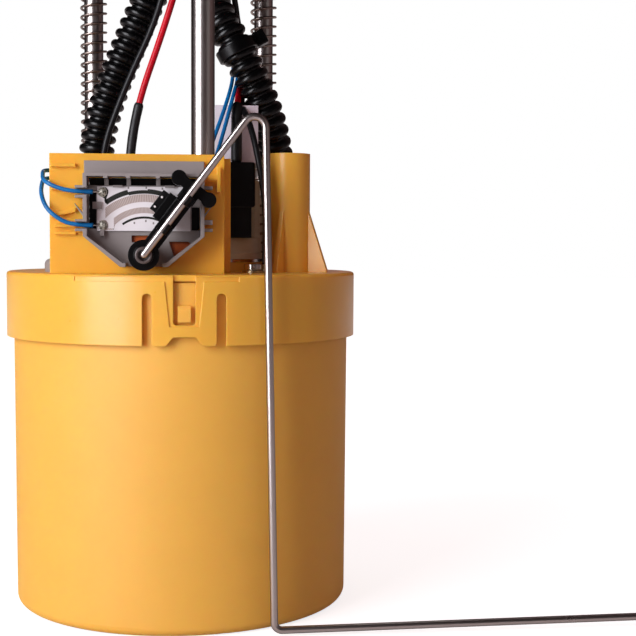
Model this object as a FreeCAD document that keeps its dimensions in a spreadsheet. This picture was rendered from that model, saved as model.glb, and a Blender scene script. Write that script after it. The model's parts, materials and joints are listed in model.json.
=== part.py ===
import FreeCAD, Part
import math
import os
import Sketcher
from FreeCAD import Placement, Rotation, Vector

# In-tank fuel pump module: a swirl-pot cup with a snap-on lid, the pump inside it, a level sender on
# the front of the lid, and a tank flange carried by three guide rods and two springs.
# Millimetres, +Z up. The origin is the centre of the cup's flat bottom. The sender faces -Y.

SIZES = [
    # cup
    ("cup_top_radius", 60.6, "outer radius of the cup at its rim"),
    ("cup_draft", 0.7, "how much narrower the cup is at the bottom"),
    ("cup_wall", 2.0, "wall of the cup"),
    ("cup_floor", 2.6, "floor of the cup"),
    ("cup_edge_round", 3.2, "rounding of the bottom edge"),
    ("lid_height", 119.3, "top face of the lid above the ground"),
    ("recess_outer", 48.0, "outer radius of the ring-shaped recess under the cup"),
    ("recess_inner", 11.0, "radius of the island in the middle of the recess"),
    ("recess_depth", 1.3, "depth of the recess"),
    ("channel_width", 14.0, "fuel channel from the recess to the rear"),
    ("catch_width", 4.2, "cup catch, along the rim"),
    ("catch_height", 5.2, "cup catch, up and down"),
    ("catch_depth", 1.9, "cup catch, out of the wall"),
    ("catch_drop", 10.0, "top of the catch below the lid's top face"),
    ("valve_x", -24.0, "foot valve, across"),
    ("valve_y", -20.0, "foot valve, front to back"),
    ("valve_radius", 8.5, "rubber disc of the foot valve"),
    ("valve_stem", 1.6, "stem of the foot valve"),
    ("valve_ports", 5.2, "radius of the circle of inlet holes"),
    ("valve_port_radius", 1.5, "each inlet hole"),
    # lid
    ("lid_radius", 63.0, "outside of the lid"),
    ("lid_plate", 2.5, "thickness of the lid's top"),
    ("lid_skin", 1.8, "wall of the lid's skirt"),
    ("skirt_height", 22.9, "lid skirt, top face to lower edge"),
    ("lid_edge_round", 1.1, "rounding of the lid's top edge"),
    ("tongue_width", 20.9, "snap tongue between its two slots"),
    ("slot_width", 3.1, "slot each side of the tongue"),
    ("slot_drop", 6.0, "top of the slots below the lid's top face"),
    ("window_width", 7.2, "window of the tongue"),
    ("window_drop", 16.2, "lower edge of the window below the lid's top face"),
    ("notch_width", 7.2, "notch under the window, at its top"),
    ("notch_drop", 20.0, "top of the notch below the lid's top face"),
    ("notch_flare", 2.4, "how much wider the notch is at the skirt's edge, on each side"),
    ("tongue_round", 1.1, "rounded corners of the tongue and its window"),
    ("tongue_turn", 0.55, "turn of the front tongue about the cup, in degrees"),
    ("panel_depth", 0.35, "shallow step along the top of the skirt and round the front window"),
    ("panel_left", 35.7, "step, to the left of the middle"),
    ("panel_right", 17.8, "step, to the right of the middle"),
    ("panel_low", 2.2, "lower edge of the step below the lid's top face"),
    ("rod_boss_radius", 6.4, "guide boss of a rod on the lid"),
    ("rod_boss_rise", 4.0, "guide boss above the lid"),
    ("rod_boss_drop", 8.0, "guide boss below the lid"),
    ("collar_radius", 24.6, "raised collar round the pump opening"),
    ("collar_rise", 3.4, "height of the collar"),
    ("post_x", 38.2, "hollow post, across"),
    ("post_y", -12.0, "hollow post, front to back"),
    ("post_radius", 7.6, "outside of the hollow post"),
    ("post_bore", 5.6, "bore of the hollow post"),
    ("post_height", 42.3, "post above the lid"),
    ("rib_reach", 14.5, "foot of a post rib from the post's axis"),
    ("rib_height", 21.7, "post rib above the lid"),
    ("rib_thickness", 1.7, "post rib"),
    ("rib_short", 9.5, "foot of the rib beside the pump from the post's axis"),
    ("rib_turn", -24.0, "turn of the four ribs about the post, in degrees"),
    ("plug_x", -41.6, "grey plug, across"),
    ("plug_y", -20.0, "grey plug, front to back"),
    ("plug_radius", 6.2, "head of the grey plug"),
    ("plug_rise", 4.6, "head of the grey plug above the lid"),
    ("plug_stem", 3.6, "stem of the grey plug"),
    ("screw_x", 24.3, "lid screw, across"),
    ("screw_y", -31.0, "lid screw, front to back"),
    ("screw_radius", 1.5, "shank of the lid screw"),
    ("grommet_x", -23.0, "lead grommet, across"),
    ("grommet_y", -17.0, "lead grommet, front to back"),
    ("grommet_radius", 4.6, "lead grommet through the lid"),
    # elbows and inner pipes
    ("left_elbow_x", -31.5, "outlet elbow, across"),
    ("left_elbow_y", 8.0, "outlet elbow, front to back"),
    ("right_elbow_x", 37.0, "return elbow, across"),
    ("right_elbow_y", 11.0, "return elbow, front to back"),
    ("elbow_stem", 4.0, "elbow tube through the lid"),
    ("elbow_bore", 2.4, "bore of the elbow tube"),
    ("elbow_collar", 6.6, "collar of the elbow on the lid"),
    ("barb_length", 11.0, "barb inside a hose end"),
    ("jet_height", 9.5, "axis of the jet pump above the ground"),
    ("jet_radius", 4.4, "mixing tube of the jet pump"),
    ("jet_length", 34.0, "mixing tube of the jet pump"),
    ("regulator_x", -8.0, "pressure regulator, across"),
    ("regulator_y", 43.0, "pressure regulator, front to back"),
    ("regulator_radius", 9.0, "pressure regulator can"),
    ("regulator_height", 20.0, "pressure regulator can"),
    # pump
    ("pump_x", 5.2, "axis of the pump, across"),
    ("pump_y", 4.0, "axis of the pump, front to back"),
    ("case_radius", 19.0, "steel can of the pump"),
    ("case_wall", 1.0, "wall of the steel can"),
    ("case_bottom", 24.0, "lower end of the steel can"),
    ("case_length", 90.3, "length of the steel can"),
    ("inlet_rise", 16.0, "lower face of the inlet cap"),
    ("seat_ring_height", 5.5, "ring on the cup floor that carries the isolator"),
    ("isolator_radius", 20.5, "rubber isolator under the pump"),
    ("strainer_radius", 11.0, "inlet strainer"),
    ("strainer_height", 4.6, "inlet strainer"),
    ("magnet_thickness", 3.2, "motor magnet shell"),
    ("armature_radius", 13.6, "armature of the pump motor"),
    ("armature_bottom", 44.0, "lower end of the armature"),
    ("armature_length", 38.0, "length of the armature"),
    ("shaft_radius", 2.0, "shaft of the pump motor"),
    ("impeller_radius", 15.5, "impeller"),
    ("impeller_thickness", 3.6, "impeller"),
    ("impeller_blades", 24, "slots round the impeller"),
    ("outlet_radius", 4.0, "outlet nozzle of the pump"),
    ("outlet_rise", 29.0, "top of the pump's outlet nozzle above the can"),
    ("ring_thickness", 1.1, "bright metal ring under the holder"),
    ("ring_radius", 24.3, "outside of the bright metal ring"),
    ("holder_flange", 2.2, "flange of the cream holder"),
    ("holder_band", 5.4, "band of the cream holder above its flange"),
    ("holder_radius", 23.9, "band of the cream holder"),
    ("sleeve_radius", 23.4, "upper sleeve of the cream holder"),
    ("sleeve_rise", 33.0, "top of the cream holder above the lid"),
    ("holder_wall", 2.0, "wall of the cream holder"),
    ("plug_box_left", 6.0, "left side of the black pump connector"),
    ("plug_box_right", 25.6, "right side of the black pump connector"),
    ("plug_box_front", -21.6, "front of the black pump connector"),
    ("plug_box_back", -7.0, "back of the black pump connector"),
    ("plug_box_step", 23.0, "step in the black connector, above the lid"),
    ("plug_box_rise", 38.7, "top of the black connector above the lid"),
    # bracket and sender
    ("sender_x", -12.5, "pivot of the sender, across"),
    ("pivot_rise", 6.3, "pivot of the sender above the lid"),
    ("bracket_front", -45.0, "front face of the bracket block"),
    ("bracket_back", -28.0, "rear edge of the bracket block"),
    ("bracket_left", -43.6, "left side of the bracket block"),
    ("bracket_right", 13.95, "right side of the bracket block"),
    ("bracket_rise", 39.7, "top of the bracket block above the lid"),
    ("bracket_wall", 2.4, "wall of the bracket block"),
    ("wing_width", 2.7, "rear wing to the right of the block"),
    ("ledge_depth", 1.4, "clip ledges, out of the block's face"),
    ("ledge_inset", 0.6, "clip ledges from the block's left side"),
    ("latch_gap", 4.2, "latch from the side of the sender frame"),
    ("latch_reach", 4.5, "latch, out of the block's face"),
    ("frame_half", 19.7, "half the width of the sender frame"),
    ("frame_rise", 31.0, "top of the sender frame above the pivot"),
    ("frame_plate", 1.5, "back plate of the sender frame"),
    ("prong_reach", 2.7, "side prongs of the sender frame"),
    ("frame_depth", 8.5, "sender frame, front to back"),
    ("frame_wall", 1.3, "wall of the sender frame"),
    ("shoulder_rise", 6.1, "where the frame's sides turn inwards, above the pivot"),
    ("frame_drop", 3.9, "lower end of the sender frame below the pivot"),
    ("frame_foot_half", 7.75, "half the width of the frame at its foot"),
    ("frame_band", 5.0, "flat band along the top of the frame"),
    ("card_half", 15.3, "half the width of the resistor card"),
    ("card_offset", -0.13, "card centre from the pivot, across"),
    ("card_rise", 7.9, "lower edge of the card above the pivot"),
    ("card_height", 14.6, "height of the card"),
    ("terminal_inset", 1.8, "card terminals from the card's edges"),
    ("card_thickness", 0.8, "thickness of the card"),
    ("track_rise", 0.12, "printed track above the card"),
    ("pivot_pin", 2.3, "pin that the wiper turns on"),
    ("running_gap", 0.06, "radial gap of a running fit"),
    ("hub_radius", 5.05, "hub of the wiper"),
    ("hub_front", -58.0, "front of the wiper hub"),
    ("arm_angle", 53.0, "angle of the float wire at rest, in degrees"),
    ("wire_radius", 1.25, "float wire"),
    ("wire_y", -60.0, "plane of the float wire"),
    ("wire_top_bend", 3.7, "radius of the float wire's upper bend"),
    ("wire_low_bend", 2.6, "radius of the float wire's other bends"),
    ("wire_up", 65.0, "float wire from the pivot to its upper bend"),
    ("wire_lean", 3.5, "how far the upright run leans outwards"),
    ("wire_low", 1.95, "lower bend above the ground"),
    ("wire_kick_x", 157.0, "where the wire turns up to the float"),
    ("wire_kick_z", 3.7, "that turn above the ground"),
    ("wire_end_x", 182.0, "pivot of the float, across"),
    ("wire_end_z", 7.6, "pivot of the float above the ground"),
    ("wire_tail", 25.0, "end of the wire that carries the float"),
    ("float_length", 35.0, "float along the wire"),
    ("float_width", 20.0, "float, front to back"),
    ("float_height", 13.0, "float, up and down"),
    ("float_round", 3.0, "rounded edges of the float"),
    # flange and rods
    ("flange_under", 254.0, "underside of the flange rim above the ground"),
    ("flange_radius", 72.0, "outside of the flange"),
    ("flange_rim", 4.0, "thickness of the flange rim"),
    ("spigot_ledge", 7.5, "flange rim outside the spigot"),
    ("spigot_wall", 2.4, "wall of the spigot"),
    ("spigot_drop", 10.0, "spigot below the rim"),
    ("dome_ledge", 22.0, "flange rim outside its raised middle"),
    ("dome_rise", 6.0, "raised middle above the rim"),
    ("seal_thickness", 3.4, "rubber seal under the rim"),
    ("seal_width", 5.6, "rubber seal, across"),
    ("travel", 50.0, "how far the flange can be pushed down"),
    ("rod_radius", 4.0, "front guide rod"),
    ("side_rod_radius", 3.6, "side guide rods"),
    ("rod_wall", 1.1, "wall of a guide rod"),
    ("rod_end", 2.0, "rod below its clip"),
    ("left_rod_x", -33.6, "left rod, across"),
    ("right_rod_x", 31.3, "right rod, across"),
    ("side_rod_y", 28.0, "side rods, front to back"),
    ("centre_rod_x", 7.0, "front rod, across"),
    ("centre_rod_y", -35.0, "front rod, front to back"),
    ("socket_radius", 7.0, "rod socket under the flange"),
    ("socket_drop", 12.0, "rod socket below the rim"),
    ("spring_radius", 4.65, "mean radius of a spring"),
    ("spring_wire", 0.95, "wire of a spring"),
    ("spring_pitch", 3.7, "rise per turn of a spring"),
    ("clip_radius", 7.0, "rod clip"),
    ("clip_thickness", 1.0, "rod clip"),
    ("hose_radius", 6.5, "outside of a hose"),
    ("hose_bore", 4.6, "bore of a hose"),
    ("left_port_x", -7.0, "left hose at the flange, across"),
    ("right_port_x", 7.0, "right hose at the flange, across"),
    ("port_y", 8.0, "hoses at the flange, front to back"),
    ("port_barb", 15.0, "barb below the flange"),
    ("outlet_pipe", 3.95, "fuel outlet pipe"),
    ("return_pipe", 3.18, "fuel return pipe"),
    ("pipe_reach", 36.0, "pipes from their turret to the free end"),
    ("pipe_height", 9.0, "axis of the pipes above the flange's dome"),
    ("pipe_end", 20.0, "bead and free end of a pipe"),
    ("pipe_neck", 0.5, "how much thicker a pipe is behind its bead"),
    ("turret_radius", 7.0, "turret of a pipe"),
    ("turret_gap", 12.0, "turret from its hose, across"),
    ("socket_x", 0.0, "electrical socket, across"),
    ("socket_y", -24.0, "electrical socket, front to back"),
    ("socket_length", 30.0, "electrical socket"),
    ("socket_width", 15.0, "electrical socket"),
    ("socket_rise", 16.0, "electrical socket above the dome"),
    ("socket_wall", 1.8, "wall of the electrical socket"),
    # leads
    ("lead_radius", 1.2, "power lead"),
    ("signal_radius", 0.85, "blue sender lead"),
    ("shrink_radius", 1.7, "heat-shrink sleeve on the left"),
    ("shrink_b_radius", 2.0, "heat-shrink sleeve on the right"),
    ("shrink_low", 42.3, "lower end of the left sleeve above the lid"),
    ("shrink_top", 60.1, "upper end of the left sleeve above the lid"),
    ("shrink_b_top", 59.9, "upper end of the right sleeve above the lid"),
    ("tie_x", 20.4, "middle of the cable tie, across"),
    ("tie_y", 5.6, "middle of the cable tie, front to back"),
    ("tie_rise", 78.3, "lower face of the cable tie above the lid"),
    ("tie_lean", -28.0, "tilt of the cable tie, in degrees"),
    ("tie_bore", 9.9, "cable tie loop, inside"),
    ("tie_thickness", 1.1, "cable tie strap"),
    ("tie_width", 3.6, "cable tie strap"),
    ("tag_left", 11.7, "left edge of the blank tag"),
    ("tag_width", 15.5, "blank tag, across"),
    ("tag_height", 20.7, "blank tag, up and down"),
    ("tag_front", -9.6, "front of the blank tag"),
    ("tag_thickness", 0.5, "blank tag"),
    ("fit_gap", 0.3, "gap between pieces that are pushed together"),
]


class Size:
    """A length with the sheet expression that it comes from."""

    def __init__(self, number, text):
        self.number = number
        self.text = text

    def __add__(self, other):
        other = sized(other)
        return Size(self.number + other.number, f"({self.text} + {other.text})")

    def __radd__(self, other):
        return sized(other) + self

    def __sub__(self, other):
        other = sized(other)
        return Size(self.number - other.number, f"({self.text} - {other.text})")

    def __rsub__(self, other):
        return sized(other) - self

    def __mul__(self, other):
        other = sized(other)
        return Size(self.number * other.number, f"({self.text} * {other.text})")

    def __rmul__(self, other):
        return sized(other) * self

    def __truediv__(self, other):
        other = sized(other)
        return Size(self.number / other.number, f"({self.text} / {other.text})")

    def __neg__(self):
        return Size(-self.number, f"(-1 * {self.text})")

    def __float__(self):
        return self.number


def sized(value):
    return value if isinstance(value, Size) else Size(float(value), f"({float(value)})")


def cosine(angle):
    angle = sized(angle)
    return Size(math.cos(math.radians(angle.number)), f"cos({angle.text})")


def sine(angle):
    angle = sized(angle)
    return Size(math.sin(math.radians(angle.number)), f"sin({angle.text})")


doc = FreeCAD.newDocument("fuel_pump_module")
sheet = doc.addObject("Spreadsheet::Sheet", "Sizes")
for row, (alias, value, note) in enumerate(SIZES, start=1):
    sheet.set(f"A{row}", alias)
    sheet.set(f"B{row}", str(value))
    sheet.setAlias(f"B{row}", alias)
    sheet.set(f"C{row}", note)
doc.recompute()


class Sheet:
    """The sheet's cells by alias, each as a Size."""

    def __getattr__(self, alias):
        return Size(float(sheet.get(alias)), f"Sizes.{alias}")


S = Sheet()
NODES = []
X_AXIS = Vector(1, 0, 0)
Y_AXIS = Vector(0, 1, 0)
Z_AXIS = Vector(0, 0, 1)


def bind(thing, prop, value):
    thing.setExpression(prop, sized(value).text)


def place(thing, at, axis=None, angle=0):
    if axis is not None:
        thing.Placement = Placement(Vector(), Rotation(axis, float(angle)))
    for letter, value in zip("xyz", at):
        bind(thing, f"Placement.Base.{letter}", value)
    return thing


def node(name, thing):
    thing.Label = name
    NODES.append(thing)
    return thing


def cylinder(name, radius, height, at, axis=None, angle=0):
    thing = doc.addObject("Part::Cylinder", name)
    bind(thing, "Radius", radius)
    bind(thing, "Height", height)
    return place(thing, at, axis, angle)


def cone(name, low_radius, high_radius, height, at, axis=None, angle=0):
    thing = doc.addObject("Part::Cone", name)
    bind(thing, "Radius1", low_radius)
    bind(thing, "Radius2", high_radius)
    bind(thing, "Height", height)
    return place(thing, at, axis, angle)


def box(name, low, high):
    thing = doc.addObject("Part::Box", name)
    for prop, start, end in zip(("Length", "Width", "Height"), low, high):
        bind(thing, prop, end - start)
    return place(thing, low)


def fuse(name, *pieces):
    thing = doc.addObject("Part::MultiFuse", name)
    thing.Shapes = list(pieces)
    thing.Refine = True
    return thing


def cut(name, base, *tools):
    thing = doc.addObject("Part::Cut", name)
    thing.Base = base
    thing.Tool = tools[0] if len(tools) == 1 else fuse(f"{name}_tools", *tools)
    thing.Refine = True
    return thing


def outline(body, plane, *loops):
    """A sketch on one of the body's own planes: each loop is a list of corners or (x, y, radius)."""
    sketch = body.newObject("Sketcher::SketchObject", f"{body.Name}_outline")
    origin_plane = next(item for item in body.Origin.OriginFeatures if item.Role == plane)
    sketch.AttachmentSupport = [(origin_plane, "")]
    sketch.MapMode = "FlatFace"
    geometry, constraints, bound = [], [], []
    for loop in loops:
        first = len(geometry)
        if isinstance(loop, tuple):
            x, y, radius = (sized(value) for value in loop)
            geometry.append(Part.Circle(Vector(x.number, y.number, 0), Z_AXIS, radius.number))
            for kind, place_on_circle, value in (("DistanceX", 3, x), ("DistanceY", 3, y)):
                bound.append((len(constraints), value))
                constraints.append(Sketcher.Constraint(kind, first, place_on_circle, value.number))
            bound.append((len(constraints), radius))
            constraints.append(Sketcher.Constraint("Radius", first, radius.number))
            continue
        corners = [(sized(x), sized(y)) for x, y in loop]
        count = len(corners)
        for index, (x, y) in enumerate(corners):
            next_x, next_y = corners[(index + 1) % count]
            start = Vector(x.number, y.number, 0)
            end = Vector(next_x.number, next_y.number, 0)
            geometry.append(Part.LineSegment(start, end))
            line = first + index
            constraints.append(Sketcher.Constraint("Coincident", line, 2, first + (index + 1) % count, 1))
            bound.append((len(constraints), x))
            constraints.append(Sketcher.Constraint("DistanceX", line, 1, x.number))
            bound.append((len(constraints), y))
            constraints.append(Sketcher.Constraint("DistanceY", line, 1, y.number))
    sketch.addGeometry(geometry, False)
    sketch.addConstraint(constraints)
    for index, value in bound:
        sketch.setExpression(f"Constraints[{index}]", value.text)
    return sketch


def turned(name, corners, at=(0, 0, 0), axis=None, angle=0):
    """A body turned about its own Z axis from (radius, height) corners."""
    body = doc.addObject("PartDesign::Body", name)
    sketch = outline(body, "XZ_Plane", corners)
    revolution = body.newObject("PartDesign::Revolution", f"{name}_turn")
    revolution.Profile = sketch
    revolution.ReferenceAxis = (sketch, ["V_Axis"])
    revolution.Angle = 360
    return place(body, at, axis, angle)


def extruded(name, plane, length, loops, at=(0, 0, 0), axis=None, angle=0, both_ways=False):
    """A body padded from loops in one of its planes: XZ pads towards -Y."""
    body = doc.addObject("PartDesign::Body", name)
    sketch = outline(body, plane, *loops)
    pad = body.newObject("PartDesign::Pad", f"{name}_pad")
    pad.Profile = sketch
    bind(pad, "Length", length)
    pad.Midplane = both_ways
    return place(body, at, axis, angle)


def rounded(body, radius, wanted):
    """Round the body's edges that wanted() picks."""
    doc.recompute()
    base = body.Tip
    names = [f"Edge{index}" for index, edge in enumerate(base.Shape.Edges, start=1) if wanted(edge)]
    fillet = body.newObject("PartDesign::Fillet", f"{body.Name}_round")
    fillet.Base = (base, names)
    bind(fillet, "Radius", radius)
    return body


def is_ring(edge, radius, height):
    """Whether an edge is a circle of this radius at this height in the body's own frame."""
    if edge.Curve.TypeId != "Part::GeomCircle":
        return False
    return abs(edge.Curve.Radius - float(radius)) < 0.01 and abs(edge.Curve.Center.z - float(height)) < 0.01


def is_upright(edge, direction):
    """Whether an edge is straight along this direction."""
    if edge.Curve.TypeId != "Part::GeomLine":
        return False
    return abs(abs(edge.Curve.Direction.dot(direction)) - 1) < 1e-6


def lies_below(edge, height):
    """Whether the whole edge is below this height in the body's own frame."""
    return edge.BoundBox.ZMax < float(height)


def feature(name, shape):
    thing = doc.addObject("Part::Feature", name)
    thing.Shape = shape
    return thing


def points(*rows):
    return [Vector(float(x), float(y), float(z)) for x, y, z in rows]


def bent_path(corners, wanted=None):
    """Straight runs joined by tangent arcs, and the radius of each arc."""
    edges, bends = [], []
    start = corners[0]
    for number, (before, corner, after) in enumerate(zip(corners, corners[1:], corners[2:])):
        run_in, run_out = corner - before, after - corner
        half_turn = run_in.getAngle(run_out) / 2
        shorter = min(run_in.Length, run_out.Length)
        radius = float(wanted[number]) if wanted else 0.45 * shorter / math.tan(half_turn)
        reach = radius * math.tan(half_turn)
        into, out = run_in.normalize(), run_out.normalize()
        first, last = corner - into * reach, corner + out * reach
        inside = (out - into).normalize() * (radius / math.cos(half_turn) - radius)
        edges.append(Part.LineSegment(start, first).toShape())
        edges.append(Part.Arc(first, corner + inside, last).toShape())
        bends.append(round(radius, 1))
        start = last
    edges.append(Part.LineSegment(start, corners[-1]).toShape())
    return Part.Wire(edges), bends


def swept(path, start, direction, radius):
    ring = Part.Wire([Part.Circle(start, direction, float(radius)).toShape()])
    return path.makePipeShell([ring], True, False)


def tube_shape(name, corners, radius, bore=None, bends=None):
    """A round rod or a tube along corners, with its volume compared with section times length."""
    path, made = bent_path(corners, bends)
    direction = (corners[1] - corners[0]).normalize()
    shape = swept(path, corners[0], direction, radius)
    section = math.pi * float(radius) ** 2
    if bore is not None:
        shape = shape.cut(swept(path, corners[0], direction, bore))
        section -= math.pi * float(bore) ** 2
    share = shape.Volume / (section * path.Length)
    print(f"{name}: length {path.Length:.1f}, volume share {share:.4f}, bends {made}")
    return shape


def tube(name, corners, radius, bore=None, bends=None):
    return node(name, feature(name, tube_shape(name, corners, radius, bore, bends)))


def together(name, shapes):
    """Several separate solids in one node."""
    return node(name, feature(name, Part.makeCompound(shapes)))


# Places that several pieces share

LID_UNDER = S.lid_height - S.lid_plate
ROD_PLACES = {
    "left": (S.left_rod_x, S.side_rod_y),
    "right": (S.right_rod_x, S.side_rod_y),
    "centre": (S.centre_rod_x, S.centre_rod_y),
}
ROD_RADII = {"left": S.side_rod_radius, "right": S.side_rod_radius, "centre": S.rod_radius}
SIDES = ("left", "right")
ELBOWS = {
    "left": (S.left_elbow_x, S.left_elbow_y),
    "right": (S.right_elbow_x, S.right_elbow_y),
}
PUMP = (S.pump_x, S.pump_y)
PIVOT_Z = S.lid_height + S.pivot_rise
BRACKET_TOP = S.lid_height + S.bracket_rise
SLEEVE_TOP = S.lid_height + S.sleeve_rise
PLUG_STEP = S.lid_height + S.plug_box_step
PLUG_TOP = S.lid_height + S.plug_box_rise
LEAD_HEIGHTS = (PIVOT_Z + S.card_rise + S.card_height - S.terminal_inset,
                PIVOT_Z + S.card_rise + S.terminal_inset)
TERMINAL_X = S.sender_x + S.card_offset - S.card_half + S.terminal_inset
SPLICE_X, SPLICE_Y = -2.0, -23.5
SPLICE_RISES = (34.9, 32.3)
TONGUE_TURNS = tuple(float(S.tongue_turn) + turn for turn in (0, 120, 240))
BARB_TOP = S.lid_height + 3.0 + S.barb_length
SPIGOT_RADIUS = S.flange_radius - S.spigot_ledge
PLUG_LEAD = (19.3, -12.0)
GROUND_PLACE = (28.6, -29.4)
LEAD_SHIFT = 1.7
CORD_GAP = 134.7
BOSS_TOP = S.lid_height + S.rod_boss_rise
BOSS_FOOT = LID_UNDER - S.rod_boss_drop


def around_z(thing, angle):
    """Turn a piece that was made on the front of the cup about the cup's axis."""
    thing.Placement = Placement(Vector(), Rotation(Z_AXIS, angle))
    return thing


# The cup, with its catches, recess, pump seat and foot valve

def make_cup():
    foot_radius = S.cup_top_radius - S.cup_draft
    shell = turned("cup_shell", [
        (0, 0), (foot_radius, 0), (S.cup_top_radius, LID_UNDER),
        (S.cup_top_radius - S.cup_wall, LID_UNDER), (foot_radius - S.cup_wall, S.cup_floor), (0, S.cup_floor)])
    rounded(shell, S.cup_edge_round, lambda edge: is_ring(edge, foot_radius, 0))
    added = [shell]
    for number, angle in enumerate(TONGUE_TURNS):
        inner = -(S.cup_top_radius - S.cup_wall / 2)
        outer = -(S.cup_top_radius + S.catch_depth)
        high = S.lid_height - S.catch_drop
        low = high - S.catch_height
        catch = extruded(f"catch_{number}", "YZ_Plane", S.catch_width, [[
            (inner, low), (outer, low), (outer, high - 1.2), (outer + 0.8, high), (inner, high)]],
            both_ways=True)
        added.append(around_z(catch, angle))
    seat_out = S.isolator_radius - 3.0
    seat = cut("pump_seat_ring",
               cylinder("seat_out", seat_out, S.seat_ring_height + 0.5, (*PUMP, S.cup_floor - 0.5)),
               cylinder("seat_in", seat_out - 2.0, S.seat_ring_height + 2.0, (*PUMP, S.cup_floor - 1.0)),
               box("seat_gap_x", (S.pump_x - seat_out - 1.0, S.pump_y - 4.0, S.cup_floor),
                   (S.pump_x + seat_out + 1.0, S.pump_y + 4.0, S.cup_floor + S.seat_ring_height - 1.5)))
    added.append(seat)
    ring_groove = cut("recess", cylinder("recess_out", S.recess_outer, S.recess_depth + 1.0, (0, 0, -1.0)),
                      cylinder("recess_in", S.recess_inner, S.recess_depth + 3.0, (0, 0, -2.0)))
    half_channel = S.channel_width / 2
    channel = box("recess_channel", (-half_channel, S.recess_outer - 4.0, -1.0),
                  (half_channel, S.cup_top_radius + 2.0, S.recess_depth))
    holes = [cylinder("stem_hole", S.valve_stem + S.running_gap, S.cup_floor + 2.0,
                      (S.valve_x, S.valve_y, -1.0))]
    for number in range(6):
        angle = number * 60
        centre = (S.valve_x + S.valve_ports * cosine(angle), S.valve_y + S.valve_ports * sine(angle), -1.0)
        holes.append(cylinder(f"inlet_hole_{number}", S.valve_port_radius, S.cup_floor + 2.0, centre))
    return node("reservoir_cup", cut("cup_body", fuse("cup_solid", *added), ring_groove, channel, *holes))


def make_foot_valve():
    top = S.cup_floor
    under = S.recess_depth
    node("foot_valve", turned("valve_turn", [
        (0, under - 1.1), (S.valve_stem + 0.7, under - 1.1), (S.valve_stem + 0.7, under - 0.1),
        (S.valve_stem, under), (S.valve_stem, top), (S.valve_radius - 0.6, top), (S.valve_radius, top + 0.5),
        (S.valve_stem + 1.0, top + 2.0), (0, top + 2.4)], (S.valve_x, S.valve_y, 0)))


# The lid, with its snap tongues, guide bosses, pump collar and ribbed post

def tongue_tools(number, angle):
    """What is cut from the skirt for one snap tongue, made at the front and turned into place."""
    front = -(S.lid_radius + 2.0)
    back = -(S.lid_radius - S.lid_skin - 2.2)
    depth = back - front
    foot = S.lid_height - S.skirt_height
    notch_top = S.lid_height - S.notch_drop
    window_low = S.lid_height - S.window_drop
    half_slot = S.slot_width / 2
    slot_high = S.lid_height - S.slot_drop - half_slot
    half_window, half_notch, half_tongue = S.window_width / 2, S.notch_width / 2, S.tongue_width / 2
    half_zone = half_tongue + S.slot_width
    window = extruded(f"window_{number}", "XZ_Plane", depth, [[
        (-half_window, window_low), (half_window, window_low), (half_window, LID_UNDER + 0.5),
        (-half_window, LID_UNDER + 0.5)]], (0, back, 0))
    rounded(window, S.tongue_round,
            lambda edge: is_upright(edge, Y_AXIS) and lies_below(edge, window_low + 0.1))
    edge_step = box(f"window_edge_{number}", (-half_window, front, LID_UNDER),
                    (half_window, -(S.lid_radius - 1.3), S.lid_height + 1.0))
    tongue = extruded(f"tongue_{number}", "XZ_Plane", depth, [[
        (-half_tongue, slot_high + 1.0), (-half_tongue, foot), (-half_notch - S.notch_flare, foot),
        (-half_notch, notch_top), (half_notch, notch_top), (half_notch + S.notch_flare, foot),
        (half_tongue, foot), (half_tongue, slot_high + 1.0)]], (0, back, 0))
    rounded(tongue, S.tongue_round,
            lambda edge: is_upright(edge, Y_AXIS) and lies_below(edge, notch_top + 0.1))
    zone = box(f"tongue_zone_{number}", (-half_zone, front, foot - 1.0), (half_zone, back, slot_high))
    tools = [window, edge_step, cut(f"tongue_gap_{number}", zone, tongue)]
    for side in (-1, 1):
        tools.append(cylinder(f"slot_end_{number}_{side + 1}", half_slot, depth,
                              (side * (half_tongue + half_slot), back, slot_high), X_AXIS, 90))
    if number == 0:
        tools.append(panel_step(window_low, half_window))
    whole = fuse(f"tongue_tools_{number}", *tools)
    return around_z(whole, angle)


def panel_step(window_low, half_window):
    """The shallow step under the lid's top edge, which runs down on both sides of the front window."""
    high, low = S.lid_height - 0.6, S.lid_height - S.panel_low
    foot = S.lid_height - S.skirt_height
    border_top, border_low, border_foot = half_window + 2.7, half_window + 1.2, window_low - 0.5
    band = extruded("panel_band", "XZ_Plane", S.lid_radius, [[
        (-S.panel_left, low), (-border_top, low), (-border_low, border_foot), (border_low, border_foot),
        (border_top, low), (S.panel_right, low), (S.panel_right, high), (-S.panel_left, high)]], (0, -20.0, 0))
    ring = cut("panel_ring",
               cylinder("panel_out", S.lid_radius + 1.0, S.skirt_height, (0, 0, foot)),
               cylinder("panel_in", S.lid_radius - S.panel_depth, S.skirt_height + 2.0, (0, 0, foot - 1.0)))
    step = doc.addObject("Part::MultiCommon", "panel_step")
    step.Shapes = [band, ring]
    return step


def post_rib(number):
    """A tapered rib at the foot of the post."""
    inner = S.post_bore + 0.6
    reach = S.rib_short if number == 2 else S.rib_reach
    rib = extruded(f"post_rib_{number}", "XZ_Plane", S.rib_thickness, [[
        (inner, S.lid_height - 0.5), (reach, S.lid_height - 0.5), (reach, S.lid_height + 1.0),
        (S.post_radius, S.lid_height + S.rib_height), (inner, S.lid_height + S.rib_height)]], both_ways=True)
    rib.Placement = Placement(Vector(), Rotation(Z_AXIS, float(S.rib_turn) + 90 * number))
    bind(rib, "Placement.Base.x", S.post_x)
    bind(rib, "Placement.Base.y", S.post_y)
    return rib


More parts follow.
